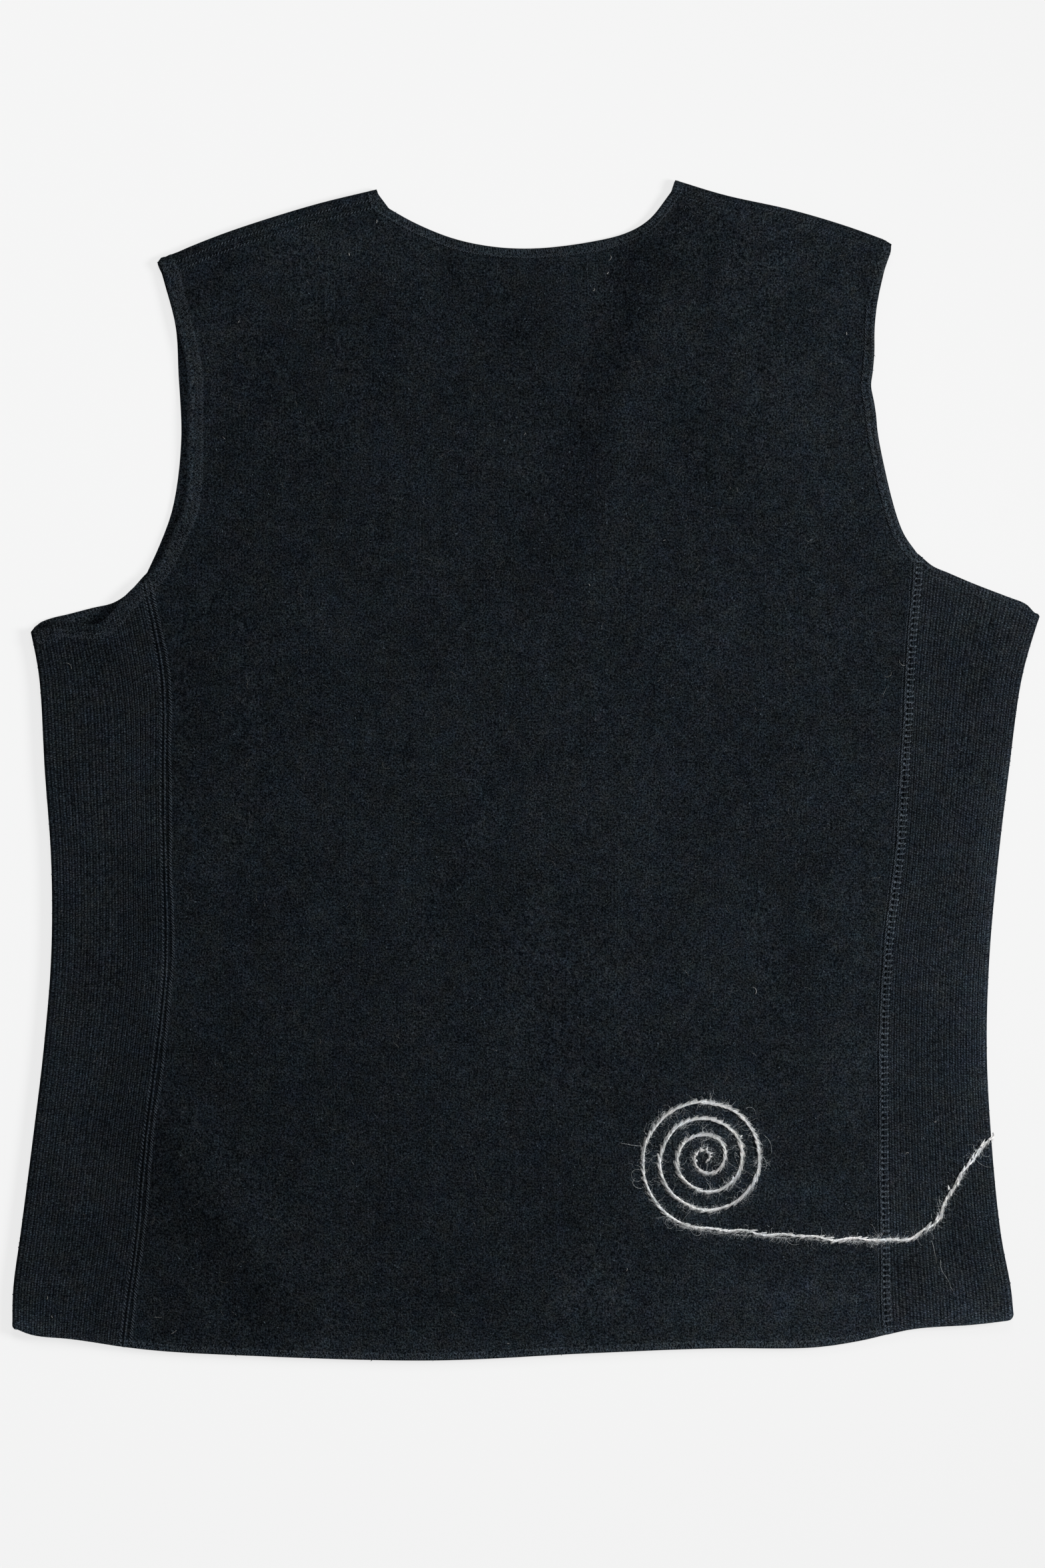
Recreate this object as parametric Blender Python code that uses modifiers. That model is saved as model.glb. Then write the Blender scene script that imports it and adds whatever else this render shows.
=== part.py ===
"""A knitted pullover vest, laid flat on its front with its back up.

+X is the wearer's right, +Y runs from the hem to the neck and +Z is up from the surface. The origin is the
middle of the garment's box, at the surface. The tables are in millimetres, and so is all the working.
"""

import math

import bpy
import numpy as np

MM = 0.001

# The knit, and how its layers lie
WALL = 2.0
LAYER_GAP = 0.8
SEAM_GAP = 0.4
FRONT_MID = WALL / 2
BACK_MID = FRONT_MID + WALL + LAYER_GAP
SHOULDER_BEND = (BACK_MID - FRONT_MID) / 2
SIDE_BEND = 2.0
SIDE_FOLD_TOP = FRONT_MID + 2 * SIDE_BEND

# Raised ribs of the side panels
RIB_HEIGHT = 0.5
RIBS = {"left": 20, "right": 18}

# The side folds, and the side seams of front and back, at heights up the garment
LEVEL_COLUMNS = ("y", "left_fold", "left_seam", "right_seam", "right_fold")
LEVELS = (
    (-280, -276.5, -212.0, 194.0, 262.0),
    (-250, -272.5, -208.0, 193.5, 256.5),
    (-200, -266.0, -203.5, 193.0, 251.5),
    (-150, -260.0, -197.0, 193.0, 249.0),
    (-100, -256.0, -192.5, 195.0, 250.5),
    (-50, -256.0, -193.5, 201.0, 255.0),
    (0, -259.5, -194.0, 204.5, 261.0),
    (50, -262.5, -194.5, 207.0, 268.0),
)

# The hem's edge from the left fold to the right fold, and where the side seams meet it
HEM = (
    (-277.0, -302.0),
    (-266.0, -306.0),
    (-244.0, -308.0),
    (-201.0, -313.5),
    (-147.0, -316.5),
    (-50.0, -319.0),
    (36.0, -315.0),
    (101.0, -312.5),
    (155.0, -312.0),
    (180.0, -308.5),
    (209.0, -302.0),
    (242.0, -299.5),
    (263.5, -297.0),
)
HEM_SEAM_X = {"left": -216.0, "right": 195.0}

# Armhole edges of the back and the front, from the side seam up to the shoulder
BACK_ARMHOLE = {
    "left": (
        *((-205, 104), (-198, 112.5), (-190, 129), (-184, 145)),
        *((-182.5, 190), (-183, 217), (-188, 239), (-197, 269.5)),
    ),
    "right": ((212, 116.5), (203.5, 129), (193, 167), (188, 200), (188.5, 240), (193, 267), (198, 283)),
}
FRONT_ARMHOLE = {
    "left": (
        *((-205, 106), (-197.5, 122), (-190.5, 142), (-186, 178)),
        *((-187.5, 215), (-189, 240), (-195.5, 265)),
    ),
    "right": ((212, 116.5), (203.5, 129), (193, 167), (188, 200), (188.5, 240), (192, 260), (195.5, 276)),
}

# Top edges of the side panels' back and front legs, from the seam out to the tip under the arm
BACK_UNDERARM = {
    "left": (
        *((-205, 104), (-216, 94), (-223, 85), (-231, 78.5)),
        *((-240, 79), (-251, 80), (-259, 76.5), (-267, 75.5)),
    ),
    "right": ((212, 116.5), (220, 110), (228, 106.5), (242, 100.5), (260, 93.5), (270, 89.5), (277.5, 84)),
}
FRONT_UNDERARM = {
    "left": (
        *((-205, 106), (-216, 94.5), (-223.5, 90), (-234, 87.5)),
        *((-247.5, 84), (-256, 82), (-262, 79.5), (-267, 75.5)),
    ),
    "right": BACK_UNDERARM["right"],
}

# Folds along the tops of the shoulders, from the neck out, and how far behind them the seams lie
SHOULDER_FOLD = {
    "left": ((-80.5, 314), (-115, 305.5), (-158, 292), (-180, 284), (-192, 279.5), (-198.5, 273.5)),
    "right": ((81, 319), (107.5, 311), (143.5, 303), (172.5, 294.5), (199, 285)),
}
SHOULDER_STRIP = {"left": (8.0, 8.0), "right": (6.5, 4.5)}
SHOULDER_SEAM_POINTS = 12

# The back's shallow neckline, and the arms of the front's V neckline down to its point
BACK_NECK = ((-60, 295.5), (-40, 287.5), (-18, 283), (5, 282), (35, 285.5), (55, 290.5), (67, 297.5))
FRONT_NECK = {
    "left": ((-56, 278), (-40, 240), (-24, 190), (-10, 140)),
    "right": ((68, 278), (55, 240), (40, 190), (22, 140)),
}
NECK_POINT = (2, 110)
SINK_MARGIN = 5.0
SINK_WIDTH = 22.0

# Where the neckline starts and ends across a body panel, and the underarm up it
NECK_SHARE = (0.33, 0.70)
UNDERARM_SHARE = 0.71

# Broad soft ridges in the back, from one end to the other
RIDGE_COLUMNS = ("x0", "y0", "x1", "y1", "width", "height")
RIDGES = (
    (-192, -205, -128, -290, 17, 1.4),
    (-168, 70, -166, -20, 16, 0.9),
    (118, 286, 108, 180, 15, 1.0),
    (-140, 262, -105, 200, 18, 0.8),
)

# The open mouth under the left arm, where the back's edge stands off the front
MOUTH = {"x": -233.0, "y": 79.0, "reach": 15.0, "lift": 2.2, "flat_share": 0.7}

# The yarn: an even spiral on the back, then a run along the hem and over the right side fold
YARN_RADIUS = 1.0
YARN_CLEARANCE = 0.3
SPIRAL_CENTRE = (97.2, -209.0)
SPIRAL_DROP = 0.6
SPIRAL_LEAD = 0.75
SPIRAL_INNER_RADIUS = 3.2
SPIRAL_PITCH = 9.4
SPIRAL_TURNS = (-0.27, 3.62)
YARN_STEP = 5.0
YARN_STEP_ANGLE = 0.7
YARN_RIB_LEAD = 7.0
YARN_RUN = (
    *((82.5, -245), (103, -249), (140, -252), (177, -254), (203, -253.5), (209.5, -252.5)),
    *((215.5, -249), (221.5, -243.5), (227, -232), (235.5, -218.5), (243.5, -206), (249.5, -201)),
)
YARN_TUCK_ANGLES = (68, 46, 24, 4, -14)
YARN_TUCK_CLIMB = 0.8

# Grid counts: pieces that meet at a seam have the same rows along it
SEAM_ROWS = 20
ARMHOLE_ROWS = 12
SHOULDER_COLUMNS = 7
NECK_COLUMNS = 14
BEND_STEPS = 6
EDGE_ANGLE = math.radians(50)
RIBBED_COLUMNS = {"bend": 8, "under": 16}
PLAIN_COLUMNS = {"top": 10, "bend": 6, "under": 16}

CLOTH_COLOUR = (0.0085, 0.0115, 0.0145, 1.0)
RIB_COLOUR = (0.009, 0.0125, 0.016, 1.0)
YARN_COLOUR = (0.46, 0.48, 0.49, 1.0)


def smooth(points, steps=12):
    """A dense centripetal Catmull-Rom curve through the points."""
    points = np.array(points, float)
    points = np.vstack([2 * points[0] - points[1], points, 2 * points[-1] - points[-2]])
    knots = np.concatenate([[0], np.cumsum(np.linalg.norm(np.diff(points, axis=0), axis=1) ** 0.5)])
    dense = [points[1]]
    for i in range(1, len(points) - 2):
        t0, t1, t2, t3 = knots[i - 1 : i + 3]
        for t in np.linspace(t1, t2, steps + 1)[1:]:
            a1 = ((t1 - t) * points[i - 1] + (t - t0) * points[i]) / (t1 - t0)
            a2 = ((t2 - t) * points[i] + (t - t1) * points[i + 1]) / (t2 - t1)
            a3 = ((t3 - t) * points[i + 1] + (t - t2) * points[i + 2]) / (t3 - t2)
            b1 = ((t2 - t) * a1 + (t - t0) * a2) / (t2 - t0)
            b2 = ((t3 - t) * a2 + (t - t1) * a3) / (t3 - t1)
            dense.append(((t2 - t) * b1 + (t - t1) * b2) / (t2 - t1))
    return np.array(dense)


def spaced(points, fractions):
    """Points at fractions of the length of a smooth curve."""
    dense = smooth(points)
    lengths = np.concatenate([[0], np.cumsum(np.linalg.norm(np.diff(dense, axis=0), axis=1))])
    at = np.asarray(fractions) * lengths[-1]
    return np.column_stack([np.interp(at, lengths, dense[:, axis]) for axis in range(dense.shape[1])])


def even(count):
    return np.linspace(0, 1, count + 1)


def joined(*runs):
    """One run of points from several that meet end to end."""
    return np.vstack([runs[0], *(run[1:] for run in runs[1:])])


def shifted(points, dx=0.0, dy=0.0):
    return np.asarray(points, float) + (dx, dy)


def patch(bottom, top, left, right, across, up):
    """A Coons patch: the flat grid between four edges, blended at the fractions across and up."""
    u = across[None, :, None]
    v = up[:, None, None]
    between_sides = (1 - u) * left[:, None] + u * right[:, None]
    between_ends = (1 - v) * bottom[None] + v * top[None]
    corners = (1 - v) * ((1 - u) * bottom[0] + u * bottom[-1]) + v * ((1 - u) * top[0] + u * top[-1])
    return between_sides + between_ends - corners


def hem_points(xs):
    dense = smooth(HEM)
    return np.column_stack([xs, np.interp(xs, dense[:, 0], dense[:, 1])])


def level_curve(column, start, end):
    """A line up the garment through one column of the level table, from the hem to its top."""
    index = LEVEL_COLUMNS.index(column)
    return np.array([start, *((row[index], row[0]) for row in LEVELS), end], float)


def seam_curve(side, top):
    return level_curve(side + "_seam", hem_points([HEM_SEAM_X[side]])[0], top)


def fold_curve(side):
    corner = HEM[0] if side == "left" else HEM[-1]
    return level_curve(side + "_fold", corner, BACK_UNDERARM[side][-1])


def left_of(line):
    """Unit vectors in the plane that point to the left of a line's direction."""
    along = np.gradient(line, axis=0)
    across = np.column_stack([-along[:, 1], along[:, 0]])
    return across / np.linalg.norm(across, axis=1)[:, None]


def outward_of_side(line, side):
    """Out of the garment, from a line that runs up one of its side folds."""
    return left_of(line) if side == "left" else -left_of(line)


def outward_of_shoulder(line, side):
    """Out of the garment, from a line that runs out along one of its shoulder folds."""
    return left_of(line) if side == "right" else -left_of(line)


def shoulder_seam(side):
    """The seam behind the shoulder fold, from the neck out."""
    fractions = even(SHOULDER_SEAM_POINTS)
    fold = spaced(SHOULDER_FOLD[side], fractions)
    depth = np.interp(fractions, (0, 1), SHOULDER_STRIP[side])[:, None]
    return fold - outward_of_shoulder(fold, side) * depth


def neck_arm(side):
    """One arm of the V neckline from the shoulder fold down to the point."""
    return (SHOULDER_FOLD[side][0], *FRONT_NECK[side], NECK_POINT)


def neck_depth(x, y):
    """How far inside the V neckline a place lies, and less than nothing outside it."""
    left = smooth(neck_arm("left"))[::-1]
    right = smooth(neck_arm("right"))[::-1]
    inside_left = x - np.interp(y, left[:, 1], left[:, 0])
    inside_right = np.interp(y, right[:, 1], right[:, 0]) - x
    return np.where(y < NECK_POINT[1], y - NECK_POINT[1], np.minimum(inside_left, inside_right))


def step(value):
    """Smooth step from 0 to 1."""
    value = np.clip(value, 0, 1)
    return value * value * (3 - 2 * value)


def ridges(x, y):
    height = np.zeros(np.shape(x))
    for row in RIDGES:
        ridge = dict(zip(RIDGE_COLUMNS, row))
        start = np.array([ridge["x0"], ridge["y0"]])
        run = np.array([ridge["x1"], ridge["y1"]]) - start
        along = ((x - start[0]) * run[0] + (y - start[1]) * run[1]) / (run @ run)
        along = np.clip(along, 0, 1)
        away = np.hypot(x - start[0] - along * run[0], y - start[1] - along * run[1])
        height += ridge["height"] * np.exp(-((away / ridge["width"]) ** 2))
    return height


def back_height(x, y):
    """Middle of the back's wall: it lies on the front, and sinks to the surface inside the V neckline."""
    sink = (BACK_MID - FRONT_MID) * step((neck_depth(x, y) - SINK_MARGIN) / SINK_WIDTH)
    return BACK_MID - sink + ridges(x, y) * (1 - sink / (BACK_MID - FRONT_MID))


def mouth_lift(x, y):
    away = np.hypot(x - MOUTH["x"], y - MOUTH["y"])
    return MOUTH["lift"] * np.exp(-((away / MOUTH["reach"]) ** 2))


def material(name, colour, roughness):
    made = bpy.data.materials.new(name)
    made.use_nodes = True
    surface = made.node_tree.nodes["Principled BSDF"]
    surface.inputs["Base Color"].default_value = colour
    surface.inputs["Roughness"].default_value = roughness
    surface.inputs["Metallic"].default_value = 0.0
    return made


def add_object(name, data, made_of, collection):
    data.materials.append(made_of)
    made = bpy.data.objects.new(name, data)
    collection.objects.link(made)
    return made


def surface_mesh(name, points, kept=None):
    """An open surface over a grid of points, with a face in each kept cell."""
    rows, columns = points.shape[:2]
    faces = [
        (r * columns + c, r * columns + c + 1, (r + 1) * columns + c + 1, (r + 1) * columns + c)
        for r in range(rows - 1)
        for c in range(columns - 1)
        if kept is None or kept[r, c]
    ]
    used = sorted({corner for face in faces for corner in face})
    number = {corner: i for i, corner in enumerate(used)}
    flat = points.reshape(-1, 3) * MM
    made = bpy.data.meshes.new(name)
    made.from_pydata([flat[i] for i in used], [], [[number[i] for i in face] for face in faces])
    made.shade_smooth()
    return made


def thicken(obj):
    wall = obj.modifiers.new("Wall", "SOLIDIFY")
    wall.thickness = WALL * MM
    wall.offset = 0.0
    wall.use_even_offset = True


def column_shares():
    """Where a body panel's columns lie across it: evenly under each shoulder and under the neckline."""
    left = np.linspace(0, NECK_SHARE[0], SHOULDER_COLUMNS + 1)
    middle = np.linspace(*NECK_SHARE, NECK_COLUMNS + 1)
    right = np.linspace(NECK_SHARE[1], 1, SHOULDER_COLUMNS + 1)
    return np.concatenate([left, middle[1:], right[1:]])


def row_shares():
    """Where a body panel's rows lie up it: evenly to the underarm, and evenly above it."""
    below = np.linspace(0, UNDERARM_SHARE, SEAM_ROWS + 1)
    above = np.linspace(UNDERARM_SHARE, 1, ARMHOLE_ROWS + 1)
    return np.concatenate([below, above[1:]])


def back_panel(cloth, collection):
    across = column_shares()
    up = row_shares()
    gap = SEAM_GAP / 2
    seams = {side: shifted(shoulder_seam(side), dy=-gap) for side in ("left", "right")}
    neck = np.array([seams["left"][0], *BACK_NECK, seams["right"][0]])
    top = joined(
        spaced(seams["left"][::-1], even(SHOULDER_COLUMNS)),
        spaced(neck, even(NECK_COLUMNS)),
        spaced(seams["right"], even(SHOULDER_COLUMNS)),
    )
    edges = {}
    for side, inset in (("left", gap), ("right", -gap)):
        seam = shifted(seam_curve(side, BACK_ARMHOLE[side][0]), dx=inset)
        armhole = np.array([seam[-1], *BACK_ARMHOLE[side][1:-1], seams[side][-1]])
        edges[side] = joined(spaced(seam, even(SEAM_ROWS)), spaced(armhole, even(ARMHOLE_ROWS)))
    bottom = hem_points(np.interp(across, (0, 1), (edges["left"][0, 0], edges["right"][0, 0])))
    flat = patch(bottom, top, edges["left"], edges["right"], across, up)
    height = back_height(flat[..., 0], flat[..., 1])
    mesh = surface_mesh("back_panel", np.dstack([flat, height]))
    panel = add_object("back_panel", mesh, cloth, collection)
    thicken(panel)


def turned_strips(columns, centres, outs, seams):
    """Rows that carry the front round both shoulder folds and on to the shoulder seams."""
    turned = np.zeros((BEND_STEPS + 1, columns, 3))
    turns = np.linspace(-math.pi / 2, math.pi / 2, BEND_STEPS + 1)[1:]
    for side in ("left", "right"):
        for i, (centre, out, seam) in enumerate(zip(centres[side], outs[side], seams[side])):
            column = SHOULDER_COLUMNS - i if side == "left" else columns - 1 - SHOULDER_COLUMNS + i
            for r, turn in enumerate(turns):
                reach = centre + out * SHOULDER_BEND * math.cos(turn)
                turned[r, column] = (*reach, FRONT_MID + SHOULDER_BEND * (1 + math.sin(turn)))
            turned[BEND_STEPS, column] = (*seam, BACK_MID)
    return turned


def front_panel(cloth, collection):
    """The front on the surface, its V neckline, and the strips turned over both shoulders."""
    across = column_shares()
    up = row_shares()
    gap = SEAM_GAP / 2
    folds, outs, seams = {}, {}, {}
    for side in ("left", "right"):
        folds[side] = spaced(SHOULDER_FOLD[side], even(SHOULDER_COLUMNS))
        outs[side] = outward_of_shoulder(folds[side], side)
        seams[side] = shifted(spaced(shoulder_seam(side), even(SHOULDER_COLUMNS)), dy=gap)
    centres = {side: folds[side] - outs[side] * (SHOULDER_BEND + WALL / 2) for side in folds}
    half = NECK_COLUMNS // 2
    arms = {side: np.array([centres[side][0], *FRONT_NECK[side], NECK_POINT]) for side in folds}
    top = joined(
        centres["left"][::-1],
        spaced(arms["left"], even(half)),
        spaced(arms["right"], even(half))[::-1],
        centres["right"],
    )
    edges = {}
    for side, inset in (("left", gap), ("right", -gap)):
        seam = shifted(seam_curve(side, FRONT_ARMHOLE[side][0]), dx=inset)
        armhole = np.array([seam[-1], *FRONT_ARMHOLE[side][1:], centres[side][-1]])
        edges[side] = joined(spaced(seam, even(SEAM_ROWS)), spaced(armhole, even(ARMHOLE_ROWS)))
    bottom = hem_points(np.interp(across, (0, 1), (edges["left"][0, 0], edges["right"][0, 0])))
    flat = patch(bottom, top, edges["left"], edges["right"], across, up)
    lower = np.dstack([flat, np.full(flat.shape[:2], FRONT_MID)])
    strips = turned_strips(len(across), centres, outs, seams)
    kept = np.ones((len(lower) - 1 + len(strips), len(across) - 1), bool)
    kept[len(lower) - 1 :, SHOULDER_COLUMNS:-SHOULDER_COLUMNS] = False
    mesh = surface_mesh("front_panel", np.concatenate([lower, strips]), kept)
    panel = add_object("front_panel", mesh, cloth, collection)
    thicken(panel)


def zip_rows(first, second):
    """Triangles between two runs of vertex numbers that start and end side by side."""
    faces = []
    first_steps, second_steps = len(first) - 1, len(second) - 1
    i = j = 0
    while i < first_steps or j < second_steps:
        if (i + 1) * second_steps <= (j + 1) * first_steps and i < first_steps:
            faces.append((first[i], first[i + 1], second[j]))
            i += 1
        else:
            faces.append((first[i], second[j + 1], second[j]))
            j += 1
    return faces


def wall_mesh(name, outer, inner):
    """A closed wall between an outer grid and an inner one, which may have fewer columns."""
    points = np.vstack([outer.reshape(-1, 3), inner.reshape(-1, 3)]) * MM
    numbers = np.arange(outer.shape[0] * outer.shape[1]).reshape(outer.shape[:2])
    inside = numbers.size + np.arange(inner.shape[0] * inner.shape[1]).reshape(inner.shape[:2])
    faces = []
    for grid, turn in ((numbers, 1), (inside, -1)):
        for r in range(grid.shape[0] - 1):
            for c in range(grid.shape[1] - 1):
                face = (grid[r, c], grid[r, c + 1], grid[r + 1, c + 1], grid[r + 1, c])
                faces.append(face[::turn])
    for first, second in (
        (numbers[0][::-1], inside[0][::-1]),
        (numbers[-1], inside[-1]),
        (numbers[:, 0], inside[:, 0]),
        (numbers[::-1, -1], inside[::-1, -1]),
    ):
        faces += zip_rows(first, second)
    made = bpy.data.meshes.new(name)
    made.from_pydata(points.tolist(), [], [tuple(map(int, face)) for face in faces])
    made.shade_smooth()
    made.set_sharp_from_angle(angle=EDGE_ANGLE)
    return made


def side_legs(side, columns):
    """The flat grids of a side panel's two legs, and the middle of its bend with the way out of it."""
    rows = even(SEAM_ROWS)
    fold = spaced(fold_curve(side), rows)
    out = outward_of_side(fold, side)
    centre = fold - out * (SIDE_BEND + WALL / 2)
    gap = SEAM_GAP / 2 if side == "right" else -SEAM_GAP / 2
    legs = {}
    for leg, edge in (("top", BACK_UNDERARM[side]), ("under", FRONT_UNDERARM[side])):
        across = even(columns[leg])
        seam = spaced(shifted(seam_curve(side, edge[0]), dx=gap), rows)
        bottom = hem_points(np.interp(across, (0, 1), (seam[0, 0], centre[0, 0])))
        bottom += across[:, None] * (centre[0] - bottom[-1])
        rim = np.array([seam[-1], *edge[1:-1], centre[-1]])
        legs[leg] = patch(bottom, spaced(rim, across), seam, centre, across, rows)
    return legs, centre, out


def side_points(side, columns, offset, rib_height):
    """A grid over one face of a side panel: offset is half the wall, out or in from its middle."""
    legs, centre, out = side_legs(side, columns)
    across = even(columns["top"])
    top = legs["top"]
    x, y = top[..., 0], top[..., 1]
    blend = step(across)[None, :]
    height = back_height(x, y) * (1 - blend) + SIDE_FOLD_TOP * blend
    height += mouth_lift(x, y) * step((1 - across) / (1 - MOUTH["flat_share"]))[None, :]
    raised = offset + rib_height * (np.arange(columns["top"] + 1) % 2)[None, :]
    upper = np.dstack([top, height + raised])
    bend = []
    for i, angle in enumerate(np.linspace(math.pi / 2, -math.pi / 2, columns["bend"] + 1)[1:-1]):
        rib = rib_height * ((i + 1) % 2) * math.cos(angle / 2) ** 2
        radius = SIDE_BEND + offset + rib
        flat = centre + out * radius * math.cos(angle)
        level = np.full(len(flat), FRONT_MID + SIDE_BEND + radius * math.sin(angle))
        bend.append(np.column_stack([flat, np.maximum(level, 0)]))
    lower = legs["under"][:, ::-1]
    lower = np.dstack([lower, np.full(lower.shape[:2], FRONT_MID - offset)])
    return np.concatenate([upper, np.stack(bend, axis=1), lower], axis=1)


def side_panel(side, knit, collection):
    """A ribbed gusset folded in two from the back's seam round to the front's."""
    outer = side_points(side, {"top": 2 * RIBS[side], **RIBBED_COLUMNS}, WALL / 2, RIB_HEIGHT)
    inner = side_points(side, PLAIN_COLUMNS, -WALL / 2, 0.0)
    if side == "right":
        mesh = wall_mesh("side_panel_" + side, outer, inner)
    else:
        mesh = wall_mesh("side_panel_" + side, outer[:, ::-1], inner[:, ::-1])
    add_object("side_panel_" + side, mesh, knit, collection)


def right_leg(y):
    """Where the right side panel's top leg starts at its seam, and ends at its bend."""
    seam = smooth(seam_curve("right", BACK_UNDERARM["right"][0]))
    fold = smooth(fold_curve("right"))
    start = np.interp(y, seam[:, 1], seam[:, 0])
    end = np.interp(y, fold[:, 1], fold[:, 0]) - SIDE_BEND - WALL / 2
    return start, end


def spiral_radius(turns):
    return np.hypot(SPIRAL_PITCH * turns + SPIRAL_LEAD, SPIRAL_INNER_RADIUS)


def spiral_points():
    """An even spiral from a small inner ring, whose centre drops a little with each turn."""
    start, end = SPIRAL_TURNS
    turns = [start]
    while turns[-1] < end:
        angle = min(YARN_STEP / spiral_radius(turns[-1]), YARN_STEP_ANGLE)
        turns.append(turns[-1] + angle / (2 * math.pi))
    turns = np.array(turns[:-1])
    radii = spiral_radius(turns)
    angles = turns * 2 * math.pi
    centres = SPIRAL_CENTRE + np.column_stack([np.zeros(len(turns)), -SPIRAL_DROP * turns])
    return centres + np.column_stack([radii * np.cos(angles), radii * np.sin(angles)])


def yarn_points():
    """The middle of the yarn: spiral, run and the tuck over the side fold."""
    spiral = spiral_points()
    run_points = np.vstack([spiral[-2:], YARN_RUN])
    length = np.linalg.norm(np.diff(run_points, axis=0), axis=1).sum()
    run = spaced(run_points, even(round(length / YARN_STEP)))
    flat = np.vstack([spiral[:-2], run])
    x, y = flat.T
    start, end = right_leg(y)
    share = step((x - start) / (end - start))
    height = back_height(x, y) * (1 - share) + SIDE_FOLD_TOP * share
    on_ribs = step((x - start + YARN_RIB_LEAD) / YARN_STEP)
    height += WALL / 2 + RIB_HEIGHT * on_ribs + YARN_CLEARANCE + YARN_RADIUS
    route = list(np.column_stack([x, y, height]))
    radius = SIDE_BEND + WALL / 2 + RIB_HEIGHT + YARN_CLEARANCE + YARN_RADIUS
    for i, angle in enumerate(YARN_TUCK_ANGLES):
        turn = math.radians(angle)
        place_y = y[-1] + YARN_TUCK_CLIMB * (i + 1)
        centre_x = right_leg(place_y)[1]
        place_z = FRONT_MID + SIDE_BEND + radius * math.sin(turn)
        route.append(np.array((centre_x + radius * math.cos(turn), place_y, place_z)))
    return np.array(route)


def yarn(made_of, collection):
    points = yarn_points() * MM
    curve = bpy.data.curves.new("yarn_spiral", "CURVE")
    curve.dimensions = "3D"
    curve.bevel_depth = YARN_RADIUS * MM
    curve.bevel_resolution = 1
    curve.use_fill_caps = True
    spline = curve.splines.new("POLY")
    spline.points.add(len(points) - 1)
    for point, place in zip(spline.points, points):
        point.co = (*place, 1.0)
    add_object("yarn_spiral", curve, made_of, collection)


def main():
    for obj in list(bpy.data.objects):
        bpy.data.objects.remove(obj)
    vest = bpy.data.collections.new("sweater_vest")
    bpy.context.scene.collection.children.link(vest)
    felted = material("felted_knit", CLOTH_COLOUR, 0.95)
    ribbed = material("rib_knit", RIB_COLOUR, 0.92)
    pale = material("pale_yarn", YARN_COLOUR, 0.9)
    front_panel(felted, vest)
    back_panel(felted, vest)
    for side in ("left", "right"):
        side_panel(side, ribbed, vest)
    yarn(pale, vest)


main()
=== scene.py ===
"""A felted pullover vest with ribbed side gussets, laid flat on its front, seen straight from above.

+X is the wearer's right, +Y runs from the hem to the neck and +Z is up. Tables and working are in
millimetres, and meshes are written in metres.
"""

import math

import bpy
import numpy as np
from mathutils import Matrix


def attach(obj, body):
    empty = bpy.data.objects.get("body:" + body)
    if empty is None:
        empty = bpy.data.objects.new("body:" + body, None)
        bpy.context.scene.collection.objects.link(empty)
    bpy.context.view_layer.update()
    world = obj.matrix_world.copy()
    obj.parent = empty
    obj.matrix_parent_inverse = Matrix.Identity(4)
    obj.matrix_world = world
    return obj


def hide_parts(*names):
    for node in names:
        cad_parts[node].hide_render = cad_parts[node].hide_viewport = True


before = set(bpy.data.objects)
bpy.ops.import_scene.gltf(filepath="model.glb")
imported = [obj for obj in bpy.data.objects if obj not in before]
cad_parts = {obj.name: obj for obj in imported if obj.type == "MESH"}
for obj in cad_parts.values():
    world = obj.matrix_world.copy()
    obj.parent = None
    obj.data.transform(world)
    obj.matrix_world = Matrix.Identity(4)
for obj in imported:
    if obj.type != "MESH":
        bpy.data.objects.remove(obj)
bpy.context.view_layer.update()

MM = 0.001
SIDES = ("left", "right")
chance = np.random.default_rng(20)

# The lie of the cloth
FRONT_MID = 1.0
BACK_MID = 3.8
CLOTH_HALF = 0.9
SEAM_GAP = 0.4
SHOULDER_BEND = (BACK_MID - FRONT_MID) / 2
SIDE_BEND = 2.0
SIDE_FOLD_TOP = FRONT_MID + 2 * SIDE_BEND
CAD_HALF = 1.0
FLOOR_CLEAR = 0.02

# Side folds and side seams at heights up the garment, in millimetres
LEVEL_COLUMNS = ("y", "left_fold", "left_seam", "right_seam", "right_fold")
LEVELS = (
    (-280, -276.5, -212.0, 194.0, 262.0),
    (-250, -272.5, -208.0, 193.5, 256.5),
    (-200, -266.0, -203.5, 193.0, 251.5),
    (-150, -260.0, -197.0, 193.0, 249.0),
    (-100, -256.0, -192.5, 195.0, 250.5),
    (-50, -256.0, -193.5, 201.0, 255.0),
    (0, -259.5, -194.0, 204.5, 261.0),
    (50, -262.5, -194.5, 207.0, 268.0),
)
HEM = (
    *((-277, -302), (-266, -306), (-244, -308), (-201, -313.5), (-147, -316.5), (-50, -319), (36, -315)),
    *((101, -312.5), (155, -312), (180, -308.5), (209, -302), (242, -299.5), (263.5, -297)),
)
HEM_SEAM_X = {"left": -216.0, "right": 195.0}
BACK_ARMHOLE = {
    "left": (
        *((-205, 104), (-198, 112.5), (-190, 129), (-184, 145)),
        *((-182.5, 190), (-183, 217), (-188, 239), (-197, 269.5)),
    ),
    "right": ((212, 116.5), (203.5, 129), (193, 167), (188, 200), (188.5, 240), (193, 267), (198, 283)),
}
FRONT_ARMHOLE = {
    "left": (
        *((-205, 106), (-197.5, 122), (-190.5, 142), (-186, 178)),
        *((-187.5, 215), (-189, 240), (-195.5, 265)),
    ),
    "right": ((212, 116.5), (203.5, 129), (193, 167), (188, 200), (188.5, 240), (192, 260), (195.5, 276)),
}
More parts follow.
